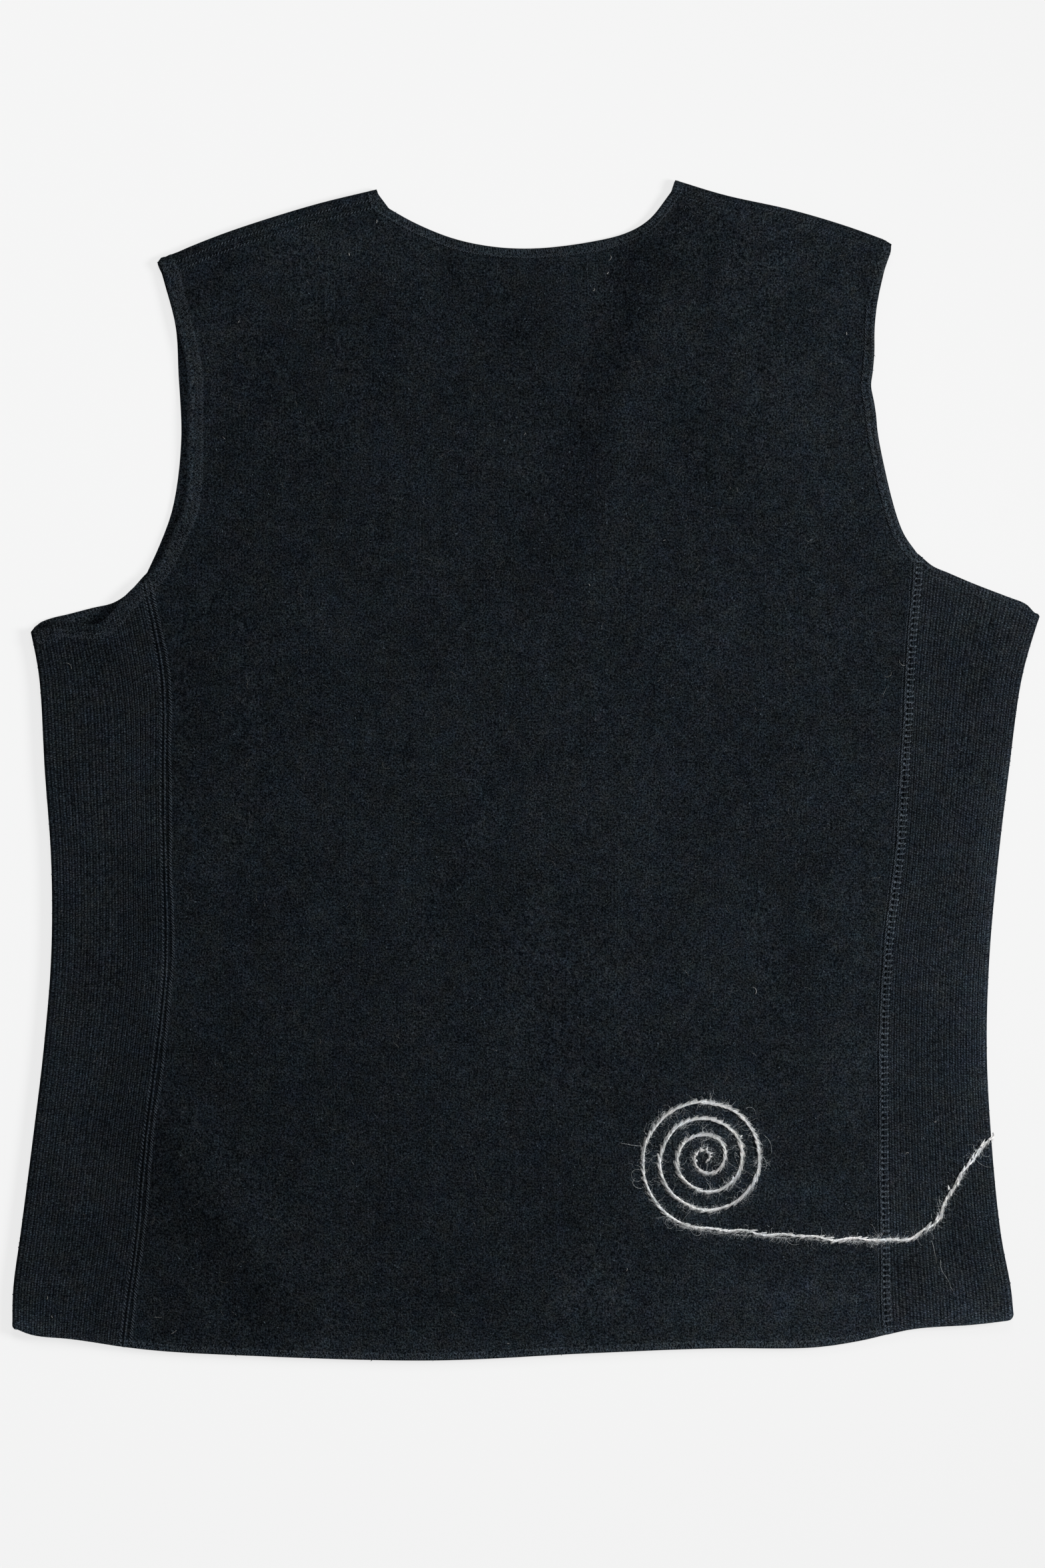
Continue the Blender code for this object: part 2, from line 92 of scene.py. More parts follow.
BACK_UNDERARM = {
    "left": (
        *((-205, 104), (-216, 94), (-223, 85), (-231, 78.5)),
        *((-240, 79), (-251, 80), (-259, 76.5), (-267, 75.5)),
    ),
    "right": ((212, 116.5), (220, 110), (228, 106.5), (242, 100.5), (260, 93.5), (270, 89.5), (277.5, 84)),
}
FRONT_UNDERARM = {
    "left": (
        *((-205, 106), (-216, 94.5), (-223.5, 90), (-234, 87.5)),
        *((-247.5, 84), (-256, 82), (-262, 79.5), (-267, 75.5)),
    ),
    "right": BACK_UNDERARM["right"],
}
SHOULDER_FOLD = {
    "left": (
        *((-80.5, 314), (-115, 305.5), (-158, 292), (-180, 283.6)),
        *((-191, 278.8), (-196.4, 276.6), (-198.8, 274.4)),
    ),
    "right": ((81, 319), (107.5, 311), (143.5, 303), (172.5, 294.5), (199, 285)),
}
# How far behind each shoulder's fold its seam lies, at the neck and at the tip
SHOULDER_STRIP = {"left": (8.0, 8.0), "right": (6.5, 4.5)}
# Places at the shoulder tips, how far each is moved to round the corner, and how far off that is felt
SHOULDER_TIPS = (
    ((-196.4, 276.4), (-0.65, 0.95), 2.4),
    ((-197.8, 271.6), (-0.7, 0.05), 2.2),
    ((199, 285), (-1.35, -0.66), 3.2),
)
BACK_NECK = ((-60, 295.5), (-40, 287.5), (-18, 283), (5, 282), (35, 285.5), (55, 290.5), (67, 297.5))
FRONT_NECK = {
    "left": ((-56, 278), (-40, 240), (-24, 190), (-10, 140)),
    "right": ((68, 278), (55, 240), (40, 190), (22, 140)),
}
NECK_POINT = (2, 110)
# Shares across the body where the neckline starts and ends, and up it where the armholes start
NECK_SHARE = (0.33, 0.70)
UNDERARM_SHARE = 0.71
# Where and over what width the back sinks inside the front's V, and how much of the creases is lost there
SINK_START = {"left": 2.0, "right": -10.0}
SINK_WIDTH = {"left": 42.0, "right": 34.0}
SINK_CALM = 0.7
# Waves of the right armhole's edge: height up the garment, width and how far out
EDGE_WAVES = ((207.5, 5.5, -1.1), (226.0, 9.0, 0.7), (192.0, 7.0, 0.5), (258.0, 8.0, -0.4))
EDGE_WAVE_REACH = 12.0
# The left armhole's open mouth under the arm
MOUTH = {"x": -233.0, "y": 79.0, "reach": 15.0, "lift": 2.2, "flat_share": 0.7}

# Soft creases and swells of the back and the gussets: the line of each, its width and its height
CREASES = (
    (((-192, -205), (-128, -290)), 17, 1.4),
    (((-168, 70), (-166, -20)), 16, 0.9),
    (((118, 286), (108, 180)), 15, 1.0),
    (((-140, 262), (-105, 200)), 18, 0.8),
    (((80, 292), (97, 280), (103, 262), (97, 236)), 4.5, 0.55),
    (((76, 292), (66, 262), (56, 216)), 5, -0.45),
    (((113, 288), (118, 270), (116, 250)), 4, 0.35),
    (((126, 286), (131, 270), (133, 256)), 4, -0.3),
    (((-186, 257), (-162, 277)), 4, -0.7),
    (((-180, 249), (-154, 269)), 6, 0.5),
    (((-35, 282), (-22, 262), (-14, 236)), 10, -0.5),
    (((60, -236), (60, -306)), 2.5, -0.3),
    (((40, -262), (44, -300)), 16, 0.4),
    (((120, -60), (138, -120), (134, -170)), 14, -0.5),
    (((-20, 20), (-28, -40), (-60, -95)), 18, -0.45),
    (((10, -90), (30, -150)), 22, 0.4),
    (((-60, 170), (-84, 120), (-80, 70)), 20, -0.35),
    (((-257, 2), (-240, -24), (-212, -61)), 3.5, -0.5),
    (((-257, -92), (-215, -93)), 3.5, -0.3),
    (((216, -181), (243, -179)), 3.5, -0.45),
    (((206, -262), (214, -288)), 10, -0.35),
    (((226, 20), (232, -40)), 9, 0.3),
)

# Patches of painted light and shade over the cloth, where it lies darker or lighter: the line of each place,
# its width and its tone
PAINTED_LIGHT_AND_SHADE = (
    (((-38, 285), (-22, 235)), 11, -0.14),
    (((60, 262), (40, 200), (28, 140), (6, 118)), 11, -0.17),
    (((80, 190), (95, 140)), 22, -0.1),
    (((83, 302), (101, 285), (98, 225)), 5, -0.18),
    (((66, 300), (58, 262), (54, 225)), 6, -0.15),
    (((112, 272), (112, 250)), 6, 0.2),
    (((132, 278), (136, 262)), 8, 0.14),
    (((84, 240), (74, 220)), 12, 0.08),
    (((145, 195), (138, 180)), 14, 0.1),
    (((-165, 250), (-130, 272), (-62, 284)), 15, 0.22),
    (((-168, 240), (-168, 195)), 11, 0.16),
    (((-68, 240), (-50, 205)), 14, 0.1),
    (((-168, 45), (-165, 15)), 14, -0.14),
    (((-212, -45), (-204, -85)), 14, -0.2),
    (((-215, 70), (-225, 20)), 18, -0.1),
    (((-225, -150), (-208, -200)), 20, -0.1),
    (((-238, -8), (-228, -34)), 6, 0.14),
    (((-65, -20), (-72, -66)), 11, 0.18),
    (((-172, -25), (-168, -60)), 11, 0.1),
    (((-125, -35), (-112, -60)), 18, 0.08),
    (((-22, -115), (-8, -130)), 20, 0.14),
    (((-40, -185), (-15, -190)), 22, 0.08),
    (((145, 30), (112, -35)), 17, -0.12),
    (((185, 40), (180, 0)), 16, -0.08),
    (((150, -80), (145, -140)), 10, -0.1),
    (((178, -105), (176, -190)), 14, 0.14),
    (((75, -78), (95, -85)), 22, 0.08),
    (((-195, -212), (-150, -272)), 16, -0.24),
    (((-105, -190), (-112, -135)), 14, -0.1),
    (((-40, -255), (-30, -285)), 12, -0.14),
    (((-148, -228), (-120, -262), (-72, -268)), 14, 0.12),
    (((25, -284), (130, -287), (262, -282)), 22, 0.3),
    (((204, -266), (210, -292)), 14, -0.24),
    (((236, -256), (245, -275)), 12, -0.24),
    (((-3, 236), (-4, 208)), 14, -0.2),
    (((5, 148), (2, 120)), 12, -0.14),
    (((62, 158), (68, 145)), 8, -0.14),
    (((8, 180), (14, 178)), 9, -0.1),
    (((-183, 228), (-180, 150)), 8, 0.16),
    (((-152, 290), (-95, 304)), 9, 0.18),
    (((-188, 262), (-172, 274)), 8, 0.14),
    (((105, 306), (178, 289)), 8, 0.18),
    (((192, 150), (206, 114), (262, 92)), 7, 0.14),
    (((-191, -284), (-187, -297)), 10, -0.2),
    (((-232, -290), (-228, -300)), 8, -0.16),
    (((-236, 73), (-229, 64)), 9, -0.16),
    (((207, 88), (205, -60)), 6, -0.12),
    (((252, 88), (248, 42)), 8, -0.12),
    (((243, -36), (237, -46)), 8, -0.12),
    (((-226, -45), (-224, -60)), 7, -0.1),
    (((20, 15), (31, 2)), 12, 0.1),
    (((-30, -4), (-22, -28)), 13, 0.14),
    (((115, 96), (120, 70)), 8, 0.14),
    (((-110, 160), (-105, 145)), 8, -0.1),
    (((-195, -105), (-194, -150)), 6, 0.14),
    (((28, -160), (26, -185)), 9, -0.1),
    (((75, 275), (92, 268)), 7, -0.12),
    (((140, -232), (185, -225)), 22, 0.16),
    (((-160, -306), (-60, -308)), 9, 0.14),
    (((235, 65), (240, 10)), 17, -0.2),
    (((215, -35), (222, -80)), 12, -0.08),
    (((258, 0), (246, -100), (247, -170)), 7, 0.28),
    (((-262, 50), (-252, -90), (-262, -220), (-272, -292)), 7, 0.14),
    (((188, 255), (186, 225)), 6, -0.15),
    (((190, 180), (196, 145)), 8, 0.2),
    (((-276, -298), (-256, -306)), 8, 0.5),
    (((-250, -308), (-130, -317)), 8, 0.12),
    (((-110, -318), (20, -317)), 8, 0.42),
    (((15, -317), (150, -312), (200, -305)), 9, 0.42),
    (((212, -302), (262, -298)), 9, 0.65),
    (((20, -290), (190, -286)), 14, 0.12),
    (((-192, 255), (-184, 215), (-184, 150)), 6, 0.26),
    (((-70, 298), (-58, 290)), 7, 0.2),
    (((-38, 287), (5, 282), (40, 286)), 4, -0.2),
    (((190, 258), (188, 228)), 5, -0.18),
    (((182, -122), (187, -128)), 9, 0.14),
    (((97, -209), (98, -208)), 27, 0.65),
    (((67, -222), (78, -241), (102, -247)), 9, 0.2),
    (((203, -252), (216, -250)), 8, 0.3),
)

# Knit: stitch columns and rows, and the gussets' ribs
WALE = 1.65
COURSE = 1.3
RIBS = {"left": 20, "right": 18}
WALES_A_RIB = 2
# Where the deep groove beside the left seam lies, in ribs
SEAM_GROOVE = 0.72
# Where the right gusset's map starts, clear of that groove
GROOVE_FREE = 1000
RIB_HEIGHT = 0.55
# What share of the ribs' height the deep grooves take, and their half width in ribs
RIB_DEPTH = {"left": 0.7, "right": 0.65}
RIB_GROOVE = 0.14
# Depth and half width of the shallow groove between two stitch columns, and of the left seam's groove
SHALLOW_GROOVE = (0.13, 0.09)
SEAM_GROOVE_SIZE = (0.5, 0.16)
# How far the hem's corner at each side fold is rounded up, and how high up that is felt
HEM_CORNERS = {"left": (2.4, 7.0), "right": (3.6, 8.0)}
# The same for the gussets' top corners, drawn down
TOP_CORNERS = {"left": (1.8, 6.0), "right": (1.6, 5.0)}
# How full the rounding is, short of a quarter circle whose end would stand upright
CORNER_FULLNESS = 0.98
# The lower layer's corner in the left underarm, which stands higher
UNDER_CORNER = {"x": -264.6, "reach": 1.9, "lift": 2.0}

# The yarn's line, as in the solid
YARN_RADIUS = 1.0
YARN_CLEARANCE = 0.3
YARN_RIB_HEIGHT = 0.5
SPIRAL_CENTRE = (97.2, -209.0)
SPIRAL_DROP = 0.6
SPIRAL_LEAD = 0.75
SPIRAL_INNER_RADIUS = 3.2
SPIRAL_PITCH = 9.4
SPIRAL_TURNS = (-0.27, 3.62)
YARN_RUN = (
    *((82.5, -245), (103, -249), (140, -252), (177, -254), (203, -253.5), (209.5, -252.5)),
    *((215.5, -249), (221.5, -243.5), (227, -232), (235.5, -218.5), (243.5, -206), (249.5, -201)),
)
YARN_TUCK_ANGLES = (68, 46, 24, 4, -14)
YARN_TUCK_CLIMB = 0.8
YARN_STEP = 5.0
YARN_STEP_ANGLE = 0.7
YARN_RIB_LEAD = 7.0

# Grid counts across and up the body panels and round the gussets
FINE = {"shoulder": 36, "neck": 56, "seam": 130, "armhole": 64}
COARSE = {"shoulder": 20, "neck": 32, "seam": 56, "armhole": 28}
BEND_STEPS = 8
STRIP_STEPS = 4
GUSSET_ROWS = 80
RIB_STEPS = 8
GUSSET_BEND_STEPS = 16
GUSSET_BEND_RIBS = 2.0
GUSSET_UNDER_RIBS = 17
GUSSET_UNDER_STEPS = 4


def smooth(points, steps=12):
    """A dense centripetal Catmull-Rom curve through the points."""
    points = np.array(points, float)
    points = np.vstack([2 * points[0] - points[1], points, 2 * points[-1] - points[-2]])
    knots = np.concatenate([[0], np.cumsum(np.linalg.norm(np.diff(points, axis=0), axis=1) ** 0.5)])
    dense = [points[1]]
    for i in range(1, len(points) - 2):
        t0, t1, t2, t3 = knots[i - 1 : i + 3]
        for t in np.linspace(t1, t2, steps + 1)[1:]:
            a1 = ((t1 - t) * points[i - 1] + (t - t0) * points[i]) / (t1 - t0)
            a2 = ((t2 - t) * points[i] + (t - t1) * points[i + 1]) / (t2 - t1)
            a3 = ((t3 - t) * points[i + 1] + (t - t2) * points[i + 2]) / (t3 - t2)
            b1 = ((t2 - t) * a1 + (t - t0) * a2) / (t2 - t0)
            b2 = ((t3 - t) * a2 + (t - t1) * a3) / (t3 - t1)
            dense.append(((t2 - t) * b1 + (t - t1) * b2) / (t2 - t1))
    return np.array(dense)


def lengths_of(points):
    return np.concatenate([[0], np.cumsum(np.linalg.norm(np.diff(points, axis=0), axis=1))])


def at_lengths(points, lengths, wanted):
    """Values along a run of points, at distances along it."""
    return np.stack([np.interp(wanted, lengths, points[:, k]) for k in range(points.shape[1])], axis=-1)


def spaced(points, shares):
    """Points at shares of the length of a smooth curve."""
    dense = smooth(points)
    lengths = lengths_of(dense)
    return at_lengths(dense, lengths, np.asarray(shares) * lengths[-1])


def even(count):
    return np.linspace(0, 1, count + 1)


def joined(*runs):
    return np.vstack([runs[0], *(run[1:] for run in runs[1:])])


def shifted(points, dx=0.0, dy=0.0):
    return np.asarray(points, float) + (dx, dy)


def unit(vectors):
    return vectors / np.maximum(np.linalg.norm(vectors, axis=-1, keepdims=True), 1e-9)


def step(value):
    value = np.clip(value, 0, 1)
    return value * value * (3 - 2 * value)


def patch(bottom, top, left, right, across, up):
    """The flat grid between four edges, blended at the shares across and up."""
    u = across[None, :, None]
    v = up[:, None, None]
    between_sides = (1 - u) * left[:, None] + u * right[:, None]
    between_ends = (1 - v) * bottom[None] + v * top[None]
    corners = (1 - v) * ((1 - u) * bottom[0] + u * bottom[-1]) + v * ((1 - u) * top[0] + u * top[-1])
    return between_sides + between_ends - corners


def hem_points(xs):
    dense = smooth(HEM)
    return np.column_stack([xs, np.interp(xs, dense[:, 0], dense[:, 1])])


def level_curve(column, start, end):
    index = LEVEL_COLUMNS.index(column)
    return np.array([start, *((row[index], row[0]) for row in LEVELS), end], float)


def seam_curve(side, top):
    return level_curve(side + "_seam", hem_points([HEM_SEAM_X[side]])[0], top)


def fold_curve(side):
    corner = HEM[0] if side == "left" else HEM[-1]
    return level_curve(side + "_fold", corner, BACK_UNDERARM[side][-1])


def left_of(line):
    along = np.gradient(line, axis=0)
    return unit(np.column_stack([-along[:, 1], along[:, 0]]))


def outward_of_side(line, side):
    return left_of(line) if side == "left" else -left_of(line)


def outward_of_shoulder(line, side):
    return left_of(line) if side == "right" else -left_of(line)


def shoulder_seam(side):
    fold = spaced(SHOULDER_FOLD[side], even(12))
    depth = np.interp(even(12), (0, 1), SHOULDER_STRIP[side])[:, None]
    return fold - outward_of_shoulder(fold, side) * depth


def neck_depth(x, y, side):
    """How far inside one arm of the front's V neckline a place lies, and less than nothing outside it."""
    arm_x, arm_y = smooth((SHOULDER_FOLD[side][0], *FRONT_NECK[side], NECK_POINT))[::-1].T
    inside = x - np.interp(y, arm_y, arm_x)
    return (inside if side == "left" else -inside) + np.minimum(y - NECK_POINT[1], 0)


def near_line(x, y, line):
    """Distance from places to a smooth line."""
    dense = smooth(line, 6)
    away = np.full(np.shape(x), 1e9)
    for start, end in zip(dense[:-1], dense[1:]):
        run = end - start
        along = np.clip(((x - start[0]) * run[0] + (y - start[1]) * run[1]) / (run @ run), 0, 1)
        away = np.minimum(away, np.hypot(x - start[0] - along * run[0], y - start[1] - along * run[1]))
    return away


def swell(away, width):
    """One in the middle of a soft swell, and next to nothing beyond twice its width."""
    return np.exp(-((away / width) ** 2))


def swells(x, y, rows):
    """The sum of soft swells along lines, from rows of a line, a width and a strength."""
    total = np.zeros(np.shape(x))
    for line, width, strength in rows:
        total += strength * swell(near_line(x, y, line), width)
    return total


def back_height(x, y):
    """Middle of the back's wall, on the front and down on the surface inside the V neckline."""
    share = 1.0
    for side in SIDES:
        share = share * step((neck_depth(x, y, side) - SINK_START[side]) / SINK_WIDTH[side])
    return BACK_MID - (BACK_MID - FRONT_MID) * share + swells(x, y, CREASES) * (1 - share * SINK_CALM)


def mouth_lift(x, y):
    return MOUTH["lift"] * swell(np.hypot(x - MOUTH["x"], y - MOUTH["y"]), MOUTH["reach"])


def column_shares(counts):
    left = np.linspace(0, NECK_SHARE[0], counts["shoulder"] + 1)
    middle = np.linspace(*NECK_SHARE, counts["neck"] + 1)
    right = np.linspace(NECK_SHARE[1], 1, counts["shoulder"] + 1)
    return np.concatenate([left, middle[1:], right[1:]])


def row_shares(counts):
    below = np.linspace(0, UNDERARM_SHARE, counts["seam"] + 1)
    above = np.linspace(UNDERARM_SHARE, 1, counts["armhole"] + 1)
    return np.concatenate([below, above[1:]])


def armhole_wave(y):
    """How far the right armhole's edge wanders out, with a notch pulled in by its seam."""
    return np.sum([swell(y - at, width) * reach for at, width, reach in EDGE_WAVES], axis=0)


def body_flat(counts, top, armhole, top_ends, hem_inset):
    """A body panel's flat grid, from its top edge and the places where its armholes end."""
    across = column_shares(counts)
    edges = {}
    for side, inset in (("left", hem_inset), ("right", -hem_inset)):
        seam = shifted(seam_curve(side, armhole[side][0]), dx=inset)
        rim = np.array([seam[-1], *armhole[side][1:], top_ends[side]])
        edges[side] = joined(spaced(seam, even(counts["seam"])), spaced(rim, even(counts["armhole"])))
    bottom = hem_points(np.interp(across, (0, 1), (edges["left"][0, 0], edges["right"][0, 0])))
    flat = patch(bottom, top, edges["left"], edges["right"], across, row_shares(counts))
    depth = flat[:, -1:, 0] - flat[..., 0]
    flat[..., 0] += armhole_wave(flat[..., 1]) * swell(depth, EDGE_WAVE_REACH)
    return flat


def back_grid(counts):
    """Middle of the back's wall."""
    gap = SEAM_GAP / 2
    seams = {side: shifted(shoulder_seam(side), dy=-gap) for side in SIDES}
    neck = np.array([seams["left"][0], *BACK_NECK, seams["right"][0]])
    top = joined(
        spaced(seams["left"][::-1], even(counts["shoulder"])),
        spaced(neck, even(counts["neck"])),
        spaced(seams["right"], even(counts["shoulder"])),
    )
    armhole = {side: BACK_ARMHOLE[side][:-1] for side in seams}
    ends = {side: seams[side][-1] for side in seams}
    flat = body_flat(counts, top, armhole, ends, gap)
    return np.dstack([flat, back_height(flat[..., 0], flat[..., 1])])


def front_grid(counts):
    """Middle of the front's wall, with the strips turned over both shoulders, and its kept cells."""
    shoulder, half = counts["shoulder"], counts["neck"] // 2
    gap = SEAM_GAP / 2
    outs, seams, centres = {}, {}, {}
    for side in SIDES:
        fold = spaced(SHOULDER_FOLD[side], even(shoulder))
        outs[side] = outward_of_shoulder(fold, side)
        seams[side] = shifted(spaced(shoulder_seam(side), even(shoulder)), dy=gap)
        centres[side] = fold - outs[side] * (SHOULDER_BEND + CAD_HALF)
    arms = {side: np.array([centres[side][0], *FRONT_NECK[side], NECK_POINT]) for side in centres}
    top = joined(
        centres["left"][::-1],
        spaced(arms["left"], even(half)),
        spaced(arms["right"], even(half))[::-1],
        centres["right"],
    )
    ends = {side: centres[side][-1] for side in centres}
    flat = body_flat(counts, top, FRONT_ARMHOLE, ends, gap)
    lower = np.dstack([flat, np.full(flat.shape[:2], FRONT_MID)])
    columns = flat.shape[1]
    turned = np.zeros((BEND_STEPS + STRIP_STEPS, columns, 3))
    outwards = np.arange(shoulder + 1)
    for side, at in (("left", shoulder - outwards), ("right", columns - 1 - shoulder + outwards)):
        for r, turn in enumerate(np.linspace(-math.pi / 2, math.pi / 2, BEND_STEPS + 1)[1:]):
            turned[r, at, :2] = centres[side] + outs[side] * SHOULDER_BEND * math.cos(turn)
            turned[r, at, 2] = FRONT_MID + SHOULDER_BEND * (1 + math.sin(turn))
        for r in range(STRIP_STEPS):
            share = (r + 1) / STRIP_STEPS
            turned[BEND_STEPS + r, at, :2] = centres[side] * (1 - share) + seams[side] * share
            turned[BEND_STEPS + r, at, 2] = BACK_MID
    grid = np.concatenate([lower, turned])
    kept = np.ones((len(grid) - 1, columns - 1), bool)
    kept[len(lower) - 1 :, shoulder:-shoulder] = False
    return grid, kept, len(lower) - 1


def gusset_legs(side, columns):
    """The flat grids of a gusset's two legs, and the middle of its bend with the way out of it."""
    rows = even(GUSSET_ROWS)
    fold = spaced(fold_curve(side), rows)
    out = outward_of_side(fold, side)
    centre = fold - out * (SIDE_BEND + CAD_HALF)
    gap = SEAM_GAP / 2 if side == "right" else -SEAM_GAP / 2
    legs = {}
    for leg, edge in (("top", BACK_UNDERARM[side]), ("under", FRONT_UNDERARM[side])):
        across = columns[leg]
        seam = spaced(shifted(seam_curve(side, edge[0]), dx=gap), rows)
        bottom = hem_points(np.interp(across, (0, 1), (seam[0, 0], centre[0, 0])))
        bottom += across[:, None] * (centre[0] - bottom[-1])
        rim = np.array([seam[-1], *edge[1:-1], centre[-1]])
        legs[leg] = patch(bottom, spaced(rim, across), seam, centre, across, rows)
    return legs, centre, out


def rib_rise(ribs, side):
    """How high a gusset's knit stands at a count of ribs: a deep groove each rib, a shallow one between."""
    deep = np.abs(ribs - np.round(ribs))
    depth, width = SHALLOW_GROOVE
    rise = RIB_HEIGHT * (1 - RIB_DEPTH[side] * swell(deep, RIB_GROOVE)) - depth * swell(0.5 - deep, width)
    if side == "left":
        depth, width = SEAM_GROOVE_SIZE
        rise -= depth * swell(ribs - SEAM_GROOVE, width)
    return rise


def corner_turn(ends, away, corner, felt):
    """How far a gusset's corner at the side fold is drawn in: most at its end row, and less away from it."""
    edge = np.abs(ends[..., 0])
    near = np.clip((edge - edge.max() + corner) / corner, 0, 1)
    return corner * (1 - np.sqrt(1 - CORNER_FULLNESS * near**2)) * np.exp(-away / felt)


def gusset_grids(side):
    """A gusset's outer face, inner face, middle and rib count, from the back's seam round to the front's."""
    top_share = even(RIBS[side] * RIB_STEPS)
    under_share = even(GUSSET_UNDER_RIBS * GUSSET_UNDER_STEPS)
    legs, centre, out = gusset_legs(side, {"top": top_share, "under": under_share})
    x, y = legs["top"][..., 0], legs["top"][..., 1]
    blend = step(top_share)[None, :]
    height = back_height(x, y) * (1 - blend) + (SIDE_FOLD_TOP + swells(x, y, CREASES)) * blend
    height += mouth_lift(x, y) * step((1 - top_share) / (1 - MOUTH["flat_share"]))[None, :]
    turns = np.linspace(math.pi / 2, -math.pi / 2, GUSSET_BEND_STEPS + 1)[1:-1]
    ribs = (
        top_share * RIBS[side],
        RIBS[side] + GUSSET_BEND_RIBS * (math.pi / 2 - turns) / math.pi,
        RIBS[side] + GUSSET_BEND_RIBS + (1 - under_share[::-1]) * GUSSET_UNDER_RIBS,
    )
    faces = []
    for offset, ribbed in ((CLOTH_HALF, 1.0), (-CLOTH_HALF, 0.0), (0.0, 0.0)):
        tops, bends, unders = (rib_rise(run, side) * ribbed for run in ribs)
        upper = np.dstack([legs["top"], height + offset + tops[None, :]])
        bend = []
        for turn, bend_rise in zip(turns, bends):
            low = max(-math.sin(turn), 0.0)
            radius = SIDE_BEND + offset + bend_rise * (1 - low) + (bend_rise - RIB_HEIGHT) * low * ribbed
            flat = centre + out * radius * math.cos(turn)
            level = np.full(len(flat), FRONT_MID + SIDE_BEND + radius * math.sin(turn))
            bend.append(np.column_stack([flat, level]))
        lower = legs["under"][:, ::-1]
        depth = FRONT_MID - offset + ribbed * (RIB_HEIGHT - unders)[None, :] + np.zeros(lower.shape[:2])
        lower = np.dstack([lower, depth])
        whole = np.concatenate([upper, np.stack(bend, axis=1), lower], axis=1)
        whole[..., 1] += corner_turn(whole[:1], whole[..., 1] - whole[:1, :, 1], *HEM_CORNERS[side])
        below = whole[-1:, :, 1] - whole[..., 1]
        whole[..., 1] -= corner_turn(whole[-1:], below, *TOP_CORNERS[side])
        if side == "left":
            far = len(top_share) + len(turns) // 2
            near = swell(whole[-1:, far:, 0] - UNDER_CORNER["x"], UNDER_CORNER["reach"])
            whole[:, far:, 1] += UNDER_CORNER["lift"] * near * np.exp(-below[:, far:] / TOP_CORNERS[side][1])
        whole[..., 2] = np.maximum(whole[..., 2], FLOOR_CLEAR)
        faces.append(whole)
    return (*faces, np.concatenate(ribs))


def grid_quads(rows, columns, kept=None, start=0):
    """Corner numbers of a grid's quads, counter-clockwise where columns run right and rows run up."""
    numbers = np.arange(rows * columns).reshape(rows, columns) + start
    quads = np.stack([numbers[:-1, :-1], numbers[:-1, 1:], numbers[1:, 1:], numbers[1:, :-1]], axis=-1)
    return quads[kept] if kept is not None else quads.reshape(-1, 4)


def round_tips(points):
    """Places with the shoulder tips' corners rounded, the same for every piece that lies there."""
    rounded = np.array(points, float)
    for place, move, reach in SHOULDER_TIPS:
        near = np.exp(-((points[:, :2] - place) ** 2).sum(axis=1) / reach**2)
        rounded[:, :2] += near[:, None] * move
    return rounded


def mesh_of(name, points, *face_sets):
    """A mesh from points in millimetres and sets of faces with the same number of corners each."""
    face_sets = [faces for faces in face_sets if len(faces)]
    corners = np.concatenate([faces.reshape(-1) for faces in face_sets]).astype(np.int32)
    sizes = np.concatenate([np.full(len(faces), faces.shape[1]) for faces in face_sets])
    starts = np.concatenate([[0], np.cumsum(sizes)[:-1]]).astype(np.int32)
    made = bpy.data.meshes.new(name)
    made.vertices.add(len(points))
    made.vertices.foreach_set("co", (round_tips(points) * MM).astype(np.float32).ravel())
    made.loops.add(len(corners))
    made.loops.foreach_set("vertex_index", corners)
    made.polygons.add(len(sizes))
    made.polygons.foreach_set("loop_start", starts)
    made.update(calc_edges=True)
    made.validate()
    made.shade_smooth()
    return made


def lay_pattern(mesh, places):
    """A UV map from one place a vertex: stitches across and up on cloth, along and round on thread."""
    corner = np.empty(len(mesh.loops), np.int32)
    mesh.loops.foreach_get("vertex_index", corner)
    layer = mesh.uv_layers.new(name="Knit")
    layer.data.foreach_set("uv", places[corner].astype(np.float32).ravel())


def lay_painted_light_and_shade(mesh, points):
    """The painted light and shade at each vertex, read by the cloth's finish."""
    tones = mesh.attributes.new("Nap", "FLOAT", "POINT")
    tones.data.foreach_set("value", swells(points[:, 0], points[:, 1], PAINTED_LIGHT_AND_SHADE).astype(np.float32))


def add_piece(name, mesh, finish, replaces=()):
    mesh.materials.append(finish)
    made = bpy.data.objects.new(name, mesh)
    bpy.context.scene.collection.objects.link(made)
    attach(made, "root")
    if replaces:
        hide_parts(*replaces)
    return made


def apply_modifiers(piece):
    bpy.ops.object.select_all(action="DESELECT")
    piece.select_set(True)
    bpy.context.view_layer.objects.active = piece
    for modifier in list(piece.modifiers):
        bpy.ops.object.modifier_apply(modifier=modifier.name)
    piece.select_set(False)


# Edges sharper than these angles, in degrees, stay crisp
BODY_SHARP = 50
GUSSET_SHARP = 60


def stitch_places(grid, across):
    """Each place's stitches across, as given, and up the cloth from its first row."""
    steps = np.linalg.norm(np.diff(grid, axis=0), axis=2)
    up = np.concatenate([np.zeros((1, grid.shape[1])), np.cumsum(steps, axis=0)])
    return np.stack([across, up / COURSE], axis=-1).reshape(-1, 2)


